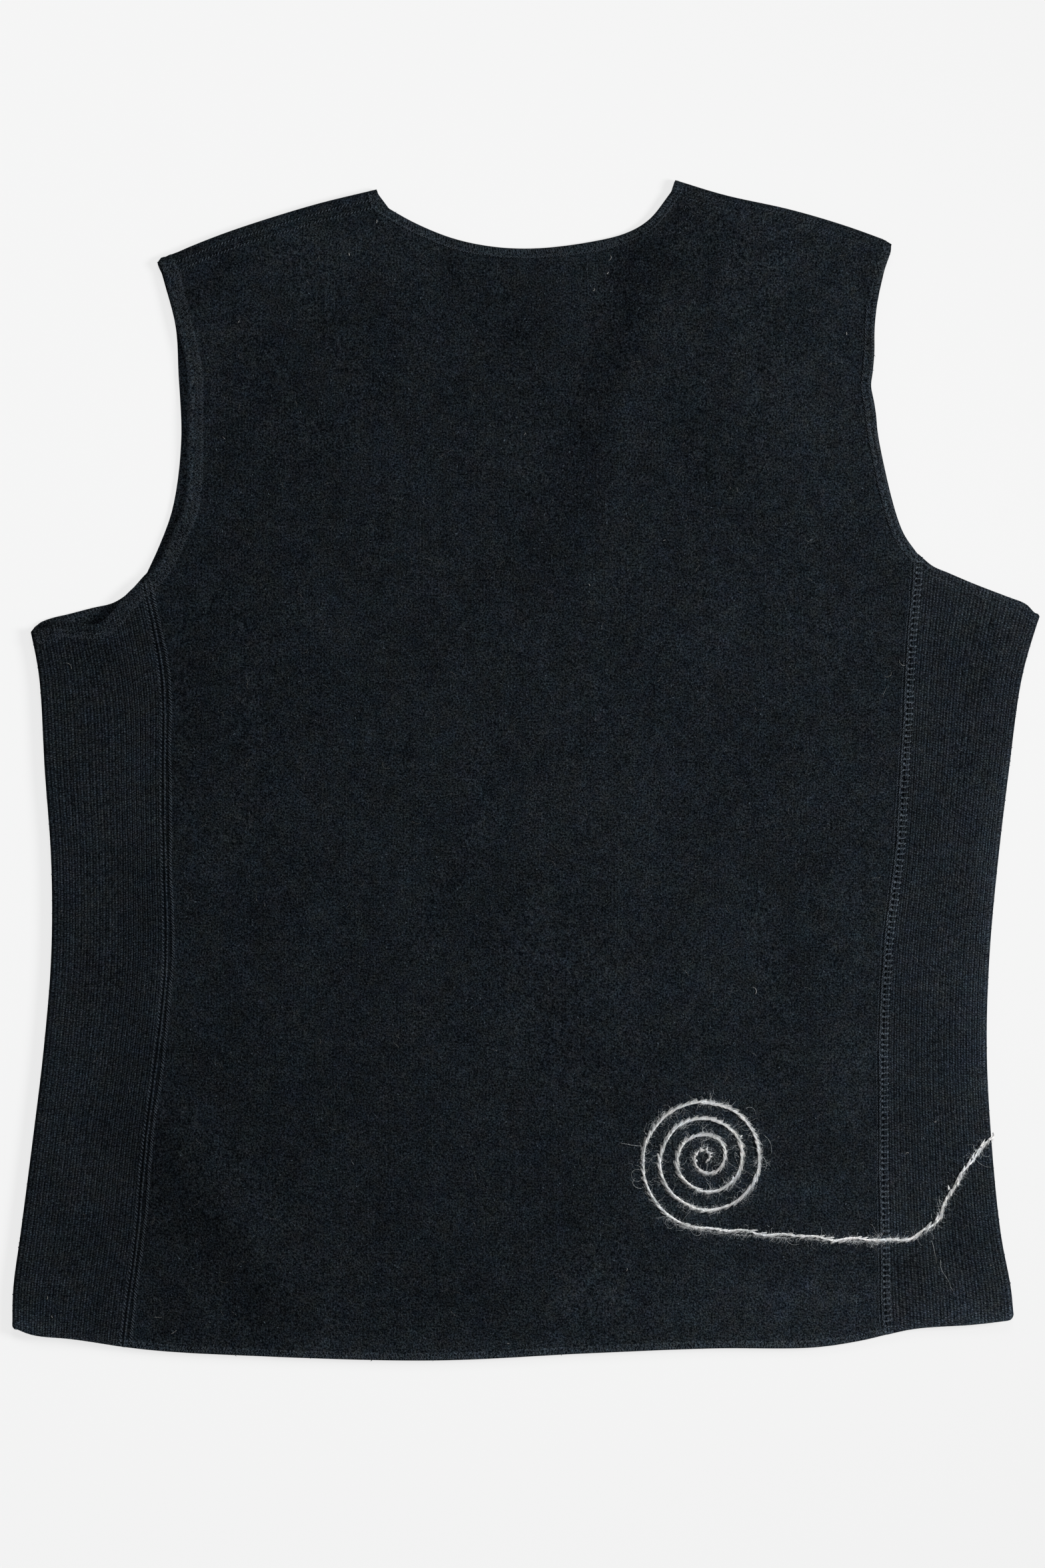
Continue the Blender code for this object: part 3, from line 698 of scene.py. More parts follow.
def body_piece(name, grid, kept, finish, node):
    """A body panel's thin shell, with its pattern in stitches."""
    rows, columns = grid.shape[:2]
    places = stitch_places(grid, grid[..., 0] / WALE)
    quads = grid_quads(rows, columns, kept)
    used = np.unique(quads)
    number = np.zeros(rows * columns, int)
    number[used] = np.arange(len(used))
    points = grid.reshape(-1, 3)[used]
    mesh = mesh_of(name, points, number[quads])
    lay_pattern(mesh, places[used])
    lay_painted_light_and_shade(mesh, points)
    piece = add_piece(name, mesh, finish, (node,))
    wall = piece.modifiers.new("Wall", "SOLIDIFY")
    wall.thickness = 2 * CLOTH_HALF * MM
    wall.offset = 0.0
    wall.use_even_offset = True
    apply_modifiers(piece)
    piece.data.set_sharp_from_angle(angle=math.radians(BODY_SHARP))
    return piece


def gusset_piece(side, outer, inner, ribs, finish):
    """A ribbed gusset folded in two, closed between its outer and inner faces."""
    if side == "left":
        outer, inner, ribs = outer[:, ::-1], inner[:, ::-1], ribs[::-1]
    rows, columns = outer.shape[:2]
    count = rows * columns
    numbers = np.arange(count).reshape(rows, columns)
    rims = []
    for line in (numbers[0], numbers[-1, ::-1], numbers[::-1, 0], numbers[:, -1]):
        rims.append(np.stack([line[1:], line[:-1], line[:-1] + count, line[1:] + count], axis=-1))
    inside = grid_quads(rows, columns, start=count)[:, ::-1]
    points = np.vstack([outer.reshape(-1, 3), inner.reshape(-1, 3)])
    mesh = mesh_of("gusset_" + side, points, grid_quads(rows, columns), inside, *rims)
    start = 0 if side == "left" else GROOVE_FREE
    across = np.broadcast_to(start + ribs[None, :] * WALES_A_RIB, (rows, columns))
    places = stitch_places(outer, across)
    lay_pattern(mesh, np.vstack([places, places]))
    lay_painted_light_and_shade(mesh, points)
    piece = add_piece("gusset_" + side, mesh, finish, ("side_panel_" + side,))
    piece.data.set_sharp_from_angle(angle=math.radians(GUSSET_SHARP))
    return piece


# How far apart threads may start in their streaks, along and round them
STRAND_STARTS = (900, 90)


def tube_faces(count, points, sides):
    """Quads and end caps of many tubes with the same number of points."""
    numbers = np.arange(count * points * sides).reshape(count, points, sides)
    after = np.roll(numbers, -1, axis=2)
    quads = np.stack([numbers[:, :-1], after[:, :-1], after[:, 1:], numbers[:, 1:]], axis=-1)
    return quads.reshape(-1, 4), numbers[:, 0, ::-1], numbers[:, -1]


def tube_points(lines, ups, radius, sides):
    """Rings round many lines: lines and ups are (lines, points, 3), radius is one value or one a point."""
    along = unit(np.gradient(lines, axis=1))
    across = unit(np.cross(ups, along))
    ups = np.cross(along, across)
    radius = np.broadcast_to(np.asarray(radius, float), lines.shape[:2])[..., None, None]
    angles = (np.arange(sides) * 2 * math.pi / sides + math.pi / sides)[:, None]
    ring = across[:, :, None] * np.cos(angles) + ups[:, :, None] * np.sin(angles)
    points = (lines[:, :, None] + ring * radius).reshape(-1, 3)
    points[:, 2] = np.maximum(points[:, 2], FLOOR_CLEAR / 2)
    return points


def strand_map(lines, sides):
    """How far along each thread a place is, and how far round it, from a start of its own."""
    first = (len(lines), 1)
    reach = np.cumsum(np.linalg.norm(np.diff(lines, axis=1), axis=2), axis=1)
    reach = np.concatenate([np.zeros(first), reach], axis=1) + chance.random(first) * STRAND_STARTS[0]
    around = np.arange(sides) / sides + chance.random(first) * STRAND_STARTS[1]
    along = np.broadcast_to(reach[:, :, None], (*reach.shape, sides))
    around = np.broadcast_to(around[:, None, :], along.shape)
    return np.stack([along, around], axis=-1).reshape(-1, 2)


def threads(name, batches, finish):
    """One joined mesh of many threads, from batches of (lines, ups, radius, sides)."""
    points, faces, maps = [], [], []
    base = 0
    for lines, ups, radius, sides in batches:
        rings = tube_points(lines, ups, radius, sides)
        points.append(rings)
        maps.append(strand_map(lines, sides))
        faces += [kind + base for kind in tube_faces(lines.shape[0], lines.shape[1], sides)]
        base += len(rings)
    mesh = mesh_of(name, np.vstack(points), *faces)
    lay_pattern(mesh, np.vstack(maps))
    return add_piece(name, mesh, finish)


class Rim:
    """An edge or seam as a line with the way into the cloth and the way out of its right side."""

    def __init__(self, line, inward, closed):
        if closed:
            line, inward = np.vstack([line, line[:1]]), np.vstack([inward, inward[:1]])
        keep = np.concatenate([[True], np.linalg.norm(np.diff(line, axis=0), axis=1) > 1e-4])
        line, inward = line[keep], inward[keep]
        lengths = lengths_of(line)
        self.length = lengths[-1]
        self.closed = closed
        self.stations = np.linspace(0, self.length, int(round(self.length)) + 1)
        self.line = at_lengths(line, lengths, self.stations)
        rough = self.eased(at_lengths(inward, lengths, self.stations), 3)
        self.line = self.eased(self.line, 1)
        along = self.tangents()
        self.out = unit(self.eased(unit(np.cross(along, rough)), 2))
        self.inward = unit(np.cross(self.out, along))

    def eased(self, values, times):
        for _ in range(times):
            if self.closed:
                core = values[:-1]
                core = (np.roll(core, 1, axis=0) + 2 * core + np.roll(core, -1, axis=0)) / 4
                values = np.vstack([core, core[:1]])
            else:
                inner = (values[:-2] + 2 * values[1:-1] + values[2:]) / 4
                values = np.vstack([values[:1], inner, values[-1:]])
        return values

    def tangents(self):
        if not self.closed:
            return unit(np.gradient(self.line, axis=0))
        around = np.vstack([self.line[-2:-1], self.line, self.line[1:2]])
        return unit(np.gradient(around, axis=0)[1:-1])

    def place(self, along, inset, out):
        """Points at distances along the line, into the cloth and out of its right side."""
        along, inset, out = np.broadcast_arrays(along, inset, out)
        if self.closed:
            along = along % self.length
        flat = along.ravel()
        base = at_lengths(self.line, self.stations, flat)
        inward = unit(at_lengths(self.inward, self.stations, flat))
        outward = unit(at_lengths(self.out, self.stations, flat))
        points = base + inward * inset.ravel()[:, None] + outward * out.ravel()[:, None]
        return points.reshape(*along.shape, 3), outward.reshape(*along.shape, 3)


# Section of a serged edge: insets from the edge as shares of its width, and heights out of the right side
BAND = (
    *((1.0, 0.7), (0.94, 1.0), (0.82, 1.12), (0.7, 1.05), (0.6, 0.93), (0.5, 1.05)),
    *((0.35, 1.18), (0.15, 1.1), (0.0, 0.7), (-0.03, 0.1), (0.0, -0.65), (0.2, -1.0)),
    *((0.5, -1.1), (0.8, -0.95), (0.92, -0.5), (0.94, 0.0)),
)


def band(name, rim, width, finish):
    """The matted wool under a serged edge's threads, wrapped round the edge."""
    inset, out = np.array(BAND).T
    rings, _ = rim.place(rim.stations[:-1, None], inset[None, :] * width, out[None, :])
    rings[..., 2] = np.maximum(rings[..., 2], FLOOR_CLEAR)
    rows, columns = rings.shape[:2]
    numbers = np.arange(rows * columns).reshape(rows, columns)
    ahead, beside = np.roll(numbers, -1, axis=0), np.roll(numbers, -1, axis=1)
    both = np.roll(ahead, -1, axis=1)
    quads = np.stack([numbers, beside, both, ahead], axis=-1).reshape(-1, 4)
    mesh = mesh_of(name, rings.reshape(-1, 3), quads)
    # Painted light and shade on the band, from the same patches as the cloth
    lay_painted_light_and_shade(mesh, rings.reshape(-1, 3))
    return add_piece(name, mesh, finish)


def wander(count, amount):
    return chance.normal(0, amount, count)


def drift(along, reach):
    """How far a row of stitches wanders off its line."""
    phases = chance.random(3) * 2 * math.pi
    waves = [np.sin(along * 2 * math.pi / length + phase) for length, phase in zip((71, 33, 17), phases)]
    return reach * (0.55 * waves[0] + 0.3 * waves[1] + 0.15 * waves[2])


# How much more the neck's and left armhole's pointed stitches differ from each other than the others do
TIP_LOOSENESS = 2.2
# Shapes of one stitch: how far along it goes as a share of the pitch, how far across from -1 to 1, its lift
STITCH_SHAPES = {
    "dash": ((-0.5, 0.0, 0.5), (-1.0, 0.0, 1.0), (-0.2, 0.15, -0.2)),
    "stroke": ((-0.5, -0.25, 0.0, 0.25, 0.5), (-1.0, -0.55, 0.0, 0.55, 1.0), (-0.3, 0.08, 0.18, 0.1, -0.3)),
    "tip": (
        (-0.46, -0.4, -0.22, 0.0, 0.22, 0.4, 0.46),
        (-1.0, -0.45, 0.45, 1.0, 0.45, -0.45, -1.0),
        (-0.4, 0.05, 0.2, 0.05, 0.2, 0.05, -0.4),
    ),
}


def stitch_row(rim, shape, pitch, centre, half, lean, out, radius):
    """One stitch after another along a rim; lean slants them, as a share of the pitch."""
    count = int(rim.length / pitch)
    end = 0.0 if rim.closed else 1.2
    start = (end + np.arange(count) * (rim.length - 2 * end) / count)[:, None]
    along, across, lift = (np.array(row)[None, :] for row in STITCH_SHAPES[shape])
    centre = centre + drift(start, 0.35) + wander(count, 0.05)[:, None]
    loose = TIP_LOOSENESS if shape == "tip" else 1.0
    half = half * (1 + wander(count, 0.1 * loose)[:, None])
    if shape != "tip":
        along = along * lean
    shifts = start + wander(count, 0.06 * pitch * loose)[:, None] + along * pitch
    lines, ups = rim.place(shifts, centre + across * half, out + lift)
    return [(lines, ups, radius * (1 + wander(count, 0.12)[:, None]), 4)]


def below(links, top):
    """The threads that stay below a height up the garment."""
    return [
        (lines[keep], ups[keep], radius[keep], sides)
        for lines, ups, radius, sides in links
        for keep in [lines[..., 1].max(axis=1) < top]
    ]


# One turn of the thread wrapped round a serged edge: insets as shares of its reach, and heights
WRAP = (
    *((1.0, 0.95), (0.75, 1.26), (0.4, 1.28), (0.12, 0.9)),
    *((0.03, 0.0), (0.12, -0.85), (0.4, -1.15), (0.8, -0.9)),
)


def wrap_row(rim, pitch, reach, radius):
    """Slanted thread round a serged edge."""
    count = int(rim.length / pitch)
    start = (np.arange(count) * rim.length / count)[:, None] + wander(count, 0.12)[:, None]
    inset, out = np.array(WRAP).T
    inset = inset * reach * (1 + wander(count, 0.08)[:, None])
    slant = np.linspace(-0.6, 0.6, len(WRAP)) * pitch
    lines, ups = rim.place(start + slant, inset, out)
    return [(lines, ups, radius * (1 + wander(count, 0.12)[:, None]), 4)]


def welt(rim, inset, out, radius):
    """A ridge of matted wool that runs along a seam and closes it."""
    lines, ups = rim.place(rim.stations, inset, out)
    return [(lines[None], ups[None], radius, 8)]


def nap_part(grid, count, outside, height, spans):
    """Fibres at random places over a grid: place, way out, way along, length, lift and width of each."""
    rows, columns = grid.shape[:2]
    r = chance.integers(0, rows - 1, count)
    c = chance.integers(0, columns - 1, count)
    u, v = chance.random(count)[:, None], chance.random(count)[:, None]
    a, b, d, e = grid[r, c], grid[r, c + 1], grid[r + 1, c], grid[r + 1, c + 1]
    places = (1 - u) * (1 - v) * a + u * (1 - v) * b + (1 - u) * v * d + u * v * e
    out = unit(np.cross(b - a, d - a)) * outside
    turn = chance.random(count)[:, None] * 2 * math.pi
    along = unit(b - a) * np.cos(turn) + unit(np.cross(out, b - a)) * np.sin(turn)
    sizes = [chance.uniform(*span, count) for span in spans]
    return (places + out * height, out, along, *sizes)


# How deep a fibre's ends are set in the wool
FIBRE_FOOT = 0.12


def nap(name, parts, finish, slot):
    """Short arched fibres that stand from the felt, each a closed sliver of four faces."""
    ends = []
    for places, out, along, reach, lift, width in parts:
        across = np.cross(out, along)
        foot = out * -FIBRE_FOOT
        ends.append(places - along * reach[:, None] / 2 + foot)
        ends.append(places + along * reach[:, None] / 2 + foot)
        middle = places + out * lift[:, None] + across * (reach * wander(len(reach), 0.12))[:, None]
        ends.append(middle + across * width[:, None] / 2)
        ends.append(middle - across * width[:, None] / 2)
    blocks, base = [], 0
    for i in range(0, len(ends), 4):
        count = len(ends[i])
        s, e, l, r = (base + k * count + np.arange(count) for k in range(4))
        blocks += [np.stack(f, axis=-1) for f in ((s, r, l), (e, l, r), (s, l, e), (s, e, r))]
        base += 4 * count
    points = np.vstack(ends)
    points[:, 2] = np.maximum(points[:, 2], FLOOR_CLEAR)
    return add_piece(name, mesh_of(name, points, np.vstack(blocks)), finish)


class Finish:
    """A material whose nodes are laid out by name, with the shader's fixed values on its own sockets."""

    def __init__(self, name, roughness, specular):
        self.material = bpy.data.materials.new(name)
        self.material.use_nodes = True
        self.tree = self.material.node_tree
        self.shader = self.tree.nodes["Principled BSDF"]
        self.shader.inputs["Roughness"].default_value = roughness
        self.shader.inputs["Specular IOR Level"].default_value = specular

    def node(self, kind, **inputs):
        return node_in(self.tree, kind, **inputs)

    def group(self, group, **inputs):
        """The output of a shared group, placed with this material's own values."""
        return self.node("ShaderNodeGroup", node_tree=group, **inputs).outputs[0]

    def feed(self, colour, height=None, distance=0.0):
        """The material with its colour linked in, and with a bump where a height is given."""
        self.tree.links.new(colour, self.shader.inputs["Base Color"])
        if height is not None:
            bump = self.node("ShaderNodeBump", Strength=1.0, Distance=distance, Height=height)
            self.tree.links.new(bump.outputs["Normal"], self.shader.inputs["Normal"])
        return self.material


def node_in(tree, kind, **inputs):
    """A node with each named input set or linked; settings in lower case are the node's own."""
    made = tree.nodes.new(kind)
    for name, value in inputs.items():
        if name[0].islower() and hasattr(made, name):
            setattr(made, name, value)
            continue
        key = int(name[1:]) if name[0] == "i" and name[1:].isdigit() else name.replace("_", " ")
        if isinstance(value, bpy.types.NodeSocket):
            tree.links.new(value, made.inputs[key])
        else:
            made.inputs[key].default_value = value
    return made


def maths(tree, operation, first, second=0.0, third=0.0):
    return node_in(tree, "ShaderNodeMath", operation=operation, i0=first, i1=second, i2=third).outputs[0]


def new_group(name, inputs, outputs):
    tree = bpy.data.node_groups.new(name, "ShaderNodeTree")
    for label, kind, value in inputs:
        socket = tree.interface.new_socket(label, in_out="INPUT", socket_type=kind)
        if value is not None:
            socket.default_value = value
    for label, kind in outputs:
        tree.interface.new_socket(label, in_out="OUTPUT", socket_type=kind)
    return tree, tree.nodes.new("NodeGroupInput"), tree.nodes.new("NodeGroupOutput")


def blend_colour(tree, share, first, second, mode="MIX"):
    made = node_in(tree, "ShaderNodeMix", data_type="RGBA", blend_type=mode, i0=share, i6=first, i7=second)
    return made.outputs[2]


def noise(tree, place, scale, detail, roughness=0.5):
    return node_in(tree, "ShaderNodeTexNoise", Vector=place, Scale=scale, Detail=detail, Roughness=roughness)


def vectors(tree, operation, first, **inputs):
    return node_in(tree, "ShaderNodeVectorMath", operation=operation, i0=first, **inputs).outputs[0]


def ranged(tree, value, low, high, to_low=0.0, to_high=1.0, kind="LINEAR"):
    ends = {"From_Min": low, "From_Max": high, "To_Min": to_low, "To_Max": to_high}
    return node_in(tree, "ShaderNodeMapRange", interpolation_type=kind, Value=value, **ends).outputs[0]


def wool_fibre_group():
    """Fine matted fibre: light ends over dark gaps."""
    tree, given, put = new_group(
        "Wool fibre",
        [("Place", "NodeSocketVector", None)],
        [("Lit", "NodeSocketFloat")],
    )
    matted = noise(tree, given.outputs["Place"], 1100.0, 2.0, 0.6).outputs[0]
    tree.links.new(ranged(tree, matted, 0.36, 0.68), put.inputs["Lit"])
    return tree


def stitch_dots_group():
    """One lit loop in each stitch of a map in stitches, stepped from wale to wale, and no two alike, with
    painted shade beside each rib's groove.
    """
    tree, given, put = new_group(
        "Stitch dots",
        [
            ("Stitch", "NodeSocketVector", None),
            ("Place", "NodeSocketVector", None),
            ("Scatter", "NodeSocketFloat", 0.3),
            ("Groove", "NodeSocketFloat", 0.5),
        ],
        [("Lit", "NodeSocketFloat")],
    )
    loose = noise(tree, given.outputs["Place"], 620.0, 1.0).outputs["Color"]
    stray = vectors(tree, "SUBTRACT", loose, i1=(0.5, 0.5, 0.5))
    moved = vectors(tree, "SCALE", stray, Scale=given.outputs["Scatter"])
    stitch = vectors(tree, "ADD", given.outputs["Stitch"], i1=moved)
    apart = node_in(tree, "ShaderNodeSeparateXYZ", Vector=stitch)
    wale = apart.outputs[0]
    column = maths(tree, "FLOOR", wale)
    stagger = node_in(tree, "ShaderNodeTexWhiteNoise", noise_dimensions="1D", W=column).outputs["Value"]
    course = maths(tree, "ADD", apart.outputs[1], stagger)
    across = maths(tree, "SUBTRACT", maths(tree, "FRACT", wale), 0.5)
    up = maths(tree, "MULTIPLY_ADD", across, 0.6, maths(tree, "SUBTRACT", maths(tree, "FRACT", course), 0.5))
    wide, tall = maths(tree, "MULTIPLY", across, 2.3), maths(tree, "MULTIPLY", up, 1.9)
    away = maths(tree, "SQRT", maths(tree, "MULTIPLY_ADD", wide, wide, maths(tree, "MULTIPLY", tall, tall)))
    near = ranged(tree, away, 0.15, 1.05, 1.0, 0.0, kind="SMOOTHSTEP")
    cell = node_in(tree, "ShaderNodeCombineXYZ", X=column, Y=maths(tree, "FLOOR", course)).outputs[0]
    own = node_in(tree, "ShaderNodeTexWhiteNoise", noise_dimensions="2D", Vector=cell).outputs["Value"]
    lit = maths(tree, "MULTIPLY", near, ranged(tree, own, 0.0, 1.0, 0.35, 1.3))
    # Painted shade: the knit is darkened towards the groove between each two ribs
    middle = maths(tree, "SUBTRACT", maths(tree, "FRACT", maths(tree, "DIVIDE", wale, WALES_A_RIB)), 0.5)
    beside = ranged(tree, maths(tree, "ABSOLUTE", middle), 0.34, 0.5)
    groove = maths(tree, "MULTIPLY", beside, given.outputs["Groove"])
    tree.links.new(maths(tree, "MULTIPLY", lit, maths(tree, "SUBTRACT", 1.0, groove)), put.inputs["Lit"])
    return tree


def wool_tone_group():
    """Drift of tone and hue over wool: clumps, broad soft patches and flecks of dyed fibre, with painted
    light and shade laid over.
    """
    tree, given, put = new_group(
        "Wool tone",
        [
            ("Place", "NodeSocketVector", None),
            ("Colour", "NodeSocketColor", (0.01, 0.01, 0.01, 1.0)),
            ("Hue", "NodeSocketFloat", 0.1),
            ("Clump", "NodeSocketFloat", 0.2),
            ("Nap", "NodeSocketFloat", 0.0),
        ],
        [("Colour", "NodeSocketColor")],
    )
    place = given.outputs["Place"]
    dyed = noise(tree, place, 60.0, 5.0, 1.0).outputs["Color"]
    hue = blend_colour(tree, given.outputs["Hue"], (1, 1, 1, 1), warm_or_cool(tree, dyed))
    clump = noise(tree, place, 150.0, 3.0).outputs[0]
    broad = noise(tree, place, 22.0, 3.0).outputs[0]
    swing = maths(tree, "MULTIPLY", ranged(tree, clump, 0.3, 0.7, -1.0, 1.0), given.outputs["Clump"])
    patches = ranged(tree, broad, 0.3, 0.7, 0.86, 1.14)
    shade = maths(tree, "MULTIPLY", maths(tree, "ADD", 1.0, swing), patches)
    # Painted light and shade: the tone laid on each vertex lightens or darkens the wool here
    shade = maths(tree, "MULTIPLY", shade, maths(tree, "ADD", 1.0, given.outputs["Nap"]))
    tone = node_in(tree, "ShaderNodeCombineColor", Red=shade, Green=shade, Blue=shade).outputs[0]
    colour = blend_colour(tree, 1.0, given.outputs["Colour"], hue, "MULTIPLY")
    tree.links.new(blend_colour(tree, 1.0, colour, tone, "MULTIPLY"), put.inputs["Colour"])
    return tree


def warm_or_cool(tree, colour):
    """A noise's colour made a tint from brownish to bluish, a little greener or redder here and there."""
    apart = node_in(tree, "ShaderNodeSeparateColor", i0=colour)
    red = ranged(tree, apart.outputs[0], 0.36, 0.64, 0.0, 2.0)
    green = ranged(tree, apart.outputs[1], 0.36, 0.64, 0.35, 1.65)
    blue = maths(tree, "SUBTRACT", 2.0, red)
    return node_in(tree, "ShaderNodeCombineColor", Red=red, Green=green, Blue=blue).outputs[0]


FIBRE_GROUP = wool_fibre_group()
DOTS_GROUP = stitch_dots_group()
TONE_GROUP = wool_tone_group()


def seam_shade(finish, stitch):
    """Painted shade in the deep groove beside the left seam, by the map in stitches."""
    tree = finish.tree
    wale = finish.node("ShaderNodeSeparateXYZ", Vector=stitch).outputs[0]
    away = maths(tree, "ABSOLUTE", maths(tree, "SUBTRACT", wale, SEAM_GROOVE * WALES_A_RIB))
    return ranged(tree, away, 0.12, 0.6, 0.3, 1.0)


def wool_finish(name, dark, light, clump=0.11, scatter=None, groove=0.0, dots=0.0, ribbed=False):
    """Wool from dark gaps to lit fibre, with a loop in each stitch where the piece has a map in stitches,
    painted shade in the knit's grooves and painted light and shade from the cloth's patches.
    """
    finish = Finish(name, 0.95, specular=0.02)
    tree = finish.tree
    place = finish.node("ShaderNodeTexCoord").outputs["Object"]
    lit = finish.group(FIBRE_GROUP, Place=place)
    if scatter is not None:
        stitch = finish.node("ShaderNodeUVMap", uv_map="Knit").outputs[0]
        # The stitch dots also paint shade beside each rib's groove, as strong as asked
        loops = finish.group(DOTS_GROUP, Stitch=stitch, Place=place, Scatter=scatter, Groove=groove)
        lit = maths(tree, "MULTIPLY_ADD", loops, dots, maths(tree, "MULTIPLY", lit, 1 - dots))
        # Ribbed wool also gets painted shade in the deep groove beside its left seam
        if ribbed:
            lit = maths(tree, "MULTIPLY", lit, seam_shade(finish, stitch))
    lit = maths(tree, "POWER", lit, 1.5)
    # Painted light and shade, read from the tones laid on the cloth's vertices
    nap = finish.node("ShaderNodeAttribute", attribute_name="Nap").outputs["Fac"]
    colour = blend_colour(tree, lit, (*dark, 1), (*light, 1))
    tone = finish.group(TONE_GROUP, Place=place, Colour=colour, Hue=WOOL_HUE, Clump=clump, Nap=nap)
    return finish.feed(tone, lit, WOOL_BUMP)


def spun_finish(name, dark, light, twist, specular=0.03):
    """Spun thread: streaks of fibre that run along each strand and slant round it."""
    finish = Finish(name, 0.9, specular=specular)
    tree = finish.tree
    strand = finish.node("ShaderNodeUVMap", uv_map="Knit").outputs[0]
    apart = finish.node("ShaderNodeSeparateXYZ", Vector=strand)
    around = maths(tree, "MULTIPLY_ADD", apart.outputs[0], twist, apart.outputs[1])
    streaks = finish.node("ShaderNodeCombineXYZ", X=maths(tree, "MULTIPLY", apart.outputs[0], 0.5), Y=around)
    fibre = noise(tree, streaks.outputs[0], 3.2, 2.0, 0.6).outputs[0]
    lit = ranged(tree, fibre, 0.36, 0.62)
    place = finish.node("ShaderNodeTexCoord").outputs["Object"]
    colour = blend_colour(tree, lit, (*dark, 1), (*light, 1))
    tone = finish.group(TONE_GROUP, Place=place, Colour=colour, Hue=0.04, Clump=0.1)
    return finish.feed(tone, lit, THREAD_BUMP)


def plain_finish(name, colour, spread):
    """One colour with a soft change of tone from place to place."""
    finish = Finish(name, 0.9, specular=0.05)
    place = finish.node("ShaderNodeTexCoord").outputs["Object"]
    share = ranged(finish.tree, noise(finish.tree, place, 500.0, 1.0).outputs[0], 0.3, 0.7)
    low = (*(c * (1 - spread) for c in colour), 1)
    high = (*(min(c * (1 + spread), 1) for c in colour), 1)
    return finish.feed(blend_colour(finish.tree, share, low, high))


# Every wool's drift of hue, and how deep the wool's and the threads' bumps are, in metres. The twist of the
# sewing threads is how many turns a streak makes in a millimetre.
WOOL_HUE = 0.115
WOOL_BUMP = 0.0003
THREAD_BUMP = 0.0002
THREAD_TWIST = 0.5

FELT = wool_finish(
    "Felted wool",
    (0.0006, 0.0012, 0.002),
    (0.0315, 0.0395, 0.0475),
    clump=0.23,
    scatter=2.2,
    groove=0.15,
    dots=0.3,
)
RIBBED = wool_finish(
    "Ribbed wool",
    (0.0013, 0.002, 0.003),
    (0.046, 0.0572, 0.0685),
    clump=0.16,
    scatter=0.5,
    groove=0.32,
    dots=0.5,
    ribbed=True,
)
MATTED = wool_finish("Matted edge wool", (0.001, 0.0018, 0.0028), (0.042, 0.053, 0.064))
THREAD = spun_finish("Seam thread", (0.007, 0.009, 0.0118), (0.07, 0.086, 0.104), THREAD_TWIST)
WORN_THREAD = spun_finish("Worn seam thread", (0.013, 0.016, 0.0198), (0.08, 0.0975, 0.117), THREAD_TWIST)
ARMHOLE_THREAD = spun_finish("Armhole thread", (0.011, 0.0135, 0.0165), (0.056, 0.067, 0.08), THREAD_TWIST)
FIBRE = plain_finish("Loose wool fibre", (0.042, 0.053, 0.064), 0.6)
PALE = spun_finish("Pale yarn", (0.58, 0.6, 0.605), (1.0, 1.0, 1.0), 0.35, specular=0.1)
LINT_FINISH = plain_finish("Lint", (0.2, 0.2, 0.195), 0.55)
PALE_HAIR = plain_finish("Pale yarn hair", (0.74, 0.77, 0.78), 0.2)

# Cloth
back = back_grid(FINE)
front, front_kept, front_top = front_grid(COARSE)
back_piece = body_piece("back_cloth", back, None, FELT, "back_panel")
front_piece = body_piece("front_cloth", front, front_kept, FELT, "front_panel")
gussets = {}
for side in SIDES:
    outer, inner, middle, ribs = gusset_grids(side)
    piece = gusset_piece(side, outer, inner, ribs, RIBBED)
    gussets[side] = {"outer": outer, "middle": middle, "piece": piece}


def closed_rim(runs):
    """The rim round an opening, from runs of its edge and of the places just inside it."""
    line = np.vstack([edge for edge, _ in runs])
    return Rim(line, np.vstack([unit(inner - edge) for edge, inner in runs]), closed=True)


def hem_rim():
    """The hem, round the garment from the left seam of the back."""
    right, left = gussets["right"]["middle"], gussets["left"]["middle"]
    return closed_rim([(grid[0], grid[1]) for grid in (back, right, front[:, ::-1], left[:, ::-1])])


def armhole_rim(side):
    """An armhole, up the back's edge, over the shoulder, down the front's and along the gusset's top."""
    last, inner = (-1, -2) if side == "right" else (0, 1)
    middle = gussets[side]["middle"]
    back_run = slice(FINE["seam"], None)
    front_run = slice(None, COARSE["seam"] - 1, -1)
    runs = [
        (back[back_run, last], back[back_run, inner]),
        (front[front_run, last], front[front_run, inner]),
        (middle[-1, ::-1], middle[-2, ::-1]),
    ]
    if side == "left":
        runs = [(edge[::-1], inside[::-1]) for edge, inside in reversed(runs)]
    return closed_rim(runs)


def neck_rim():
    """The neckline, along the back's scoop and round the front's V."""
    shoulder = FINE["shoulder"]
    scoop = slice(-shoulder - 1, shoulder - 1, -1)
    near = COARSE["shoulder"]
    far = front.shape[1] - 1 - near
    return closed_rim(
        [
            (back[-1, scoop], back[-2, scoop]),
            (front[:front_top:-1, near], front[:front_top:-1, near - 1]),
            (front[front_top, near : far + 1], front[front_top - 1, near : far + 1]),
            (front[front_top + 1 :, far], front[front_top + 1 :, far + 1]),
        ]
    )


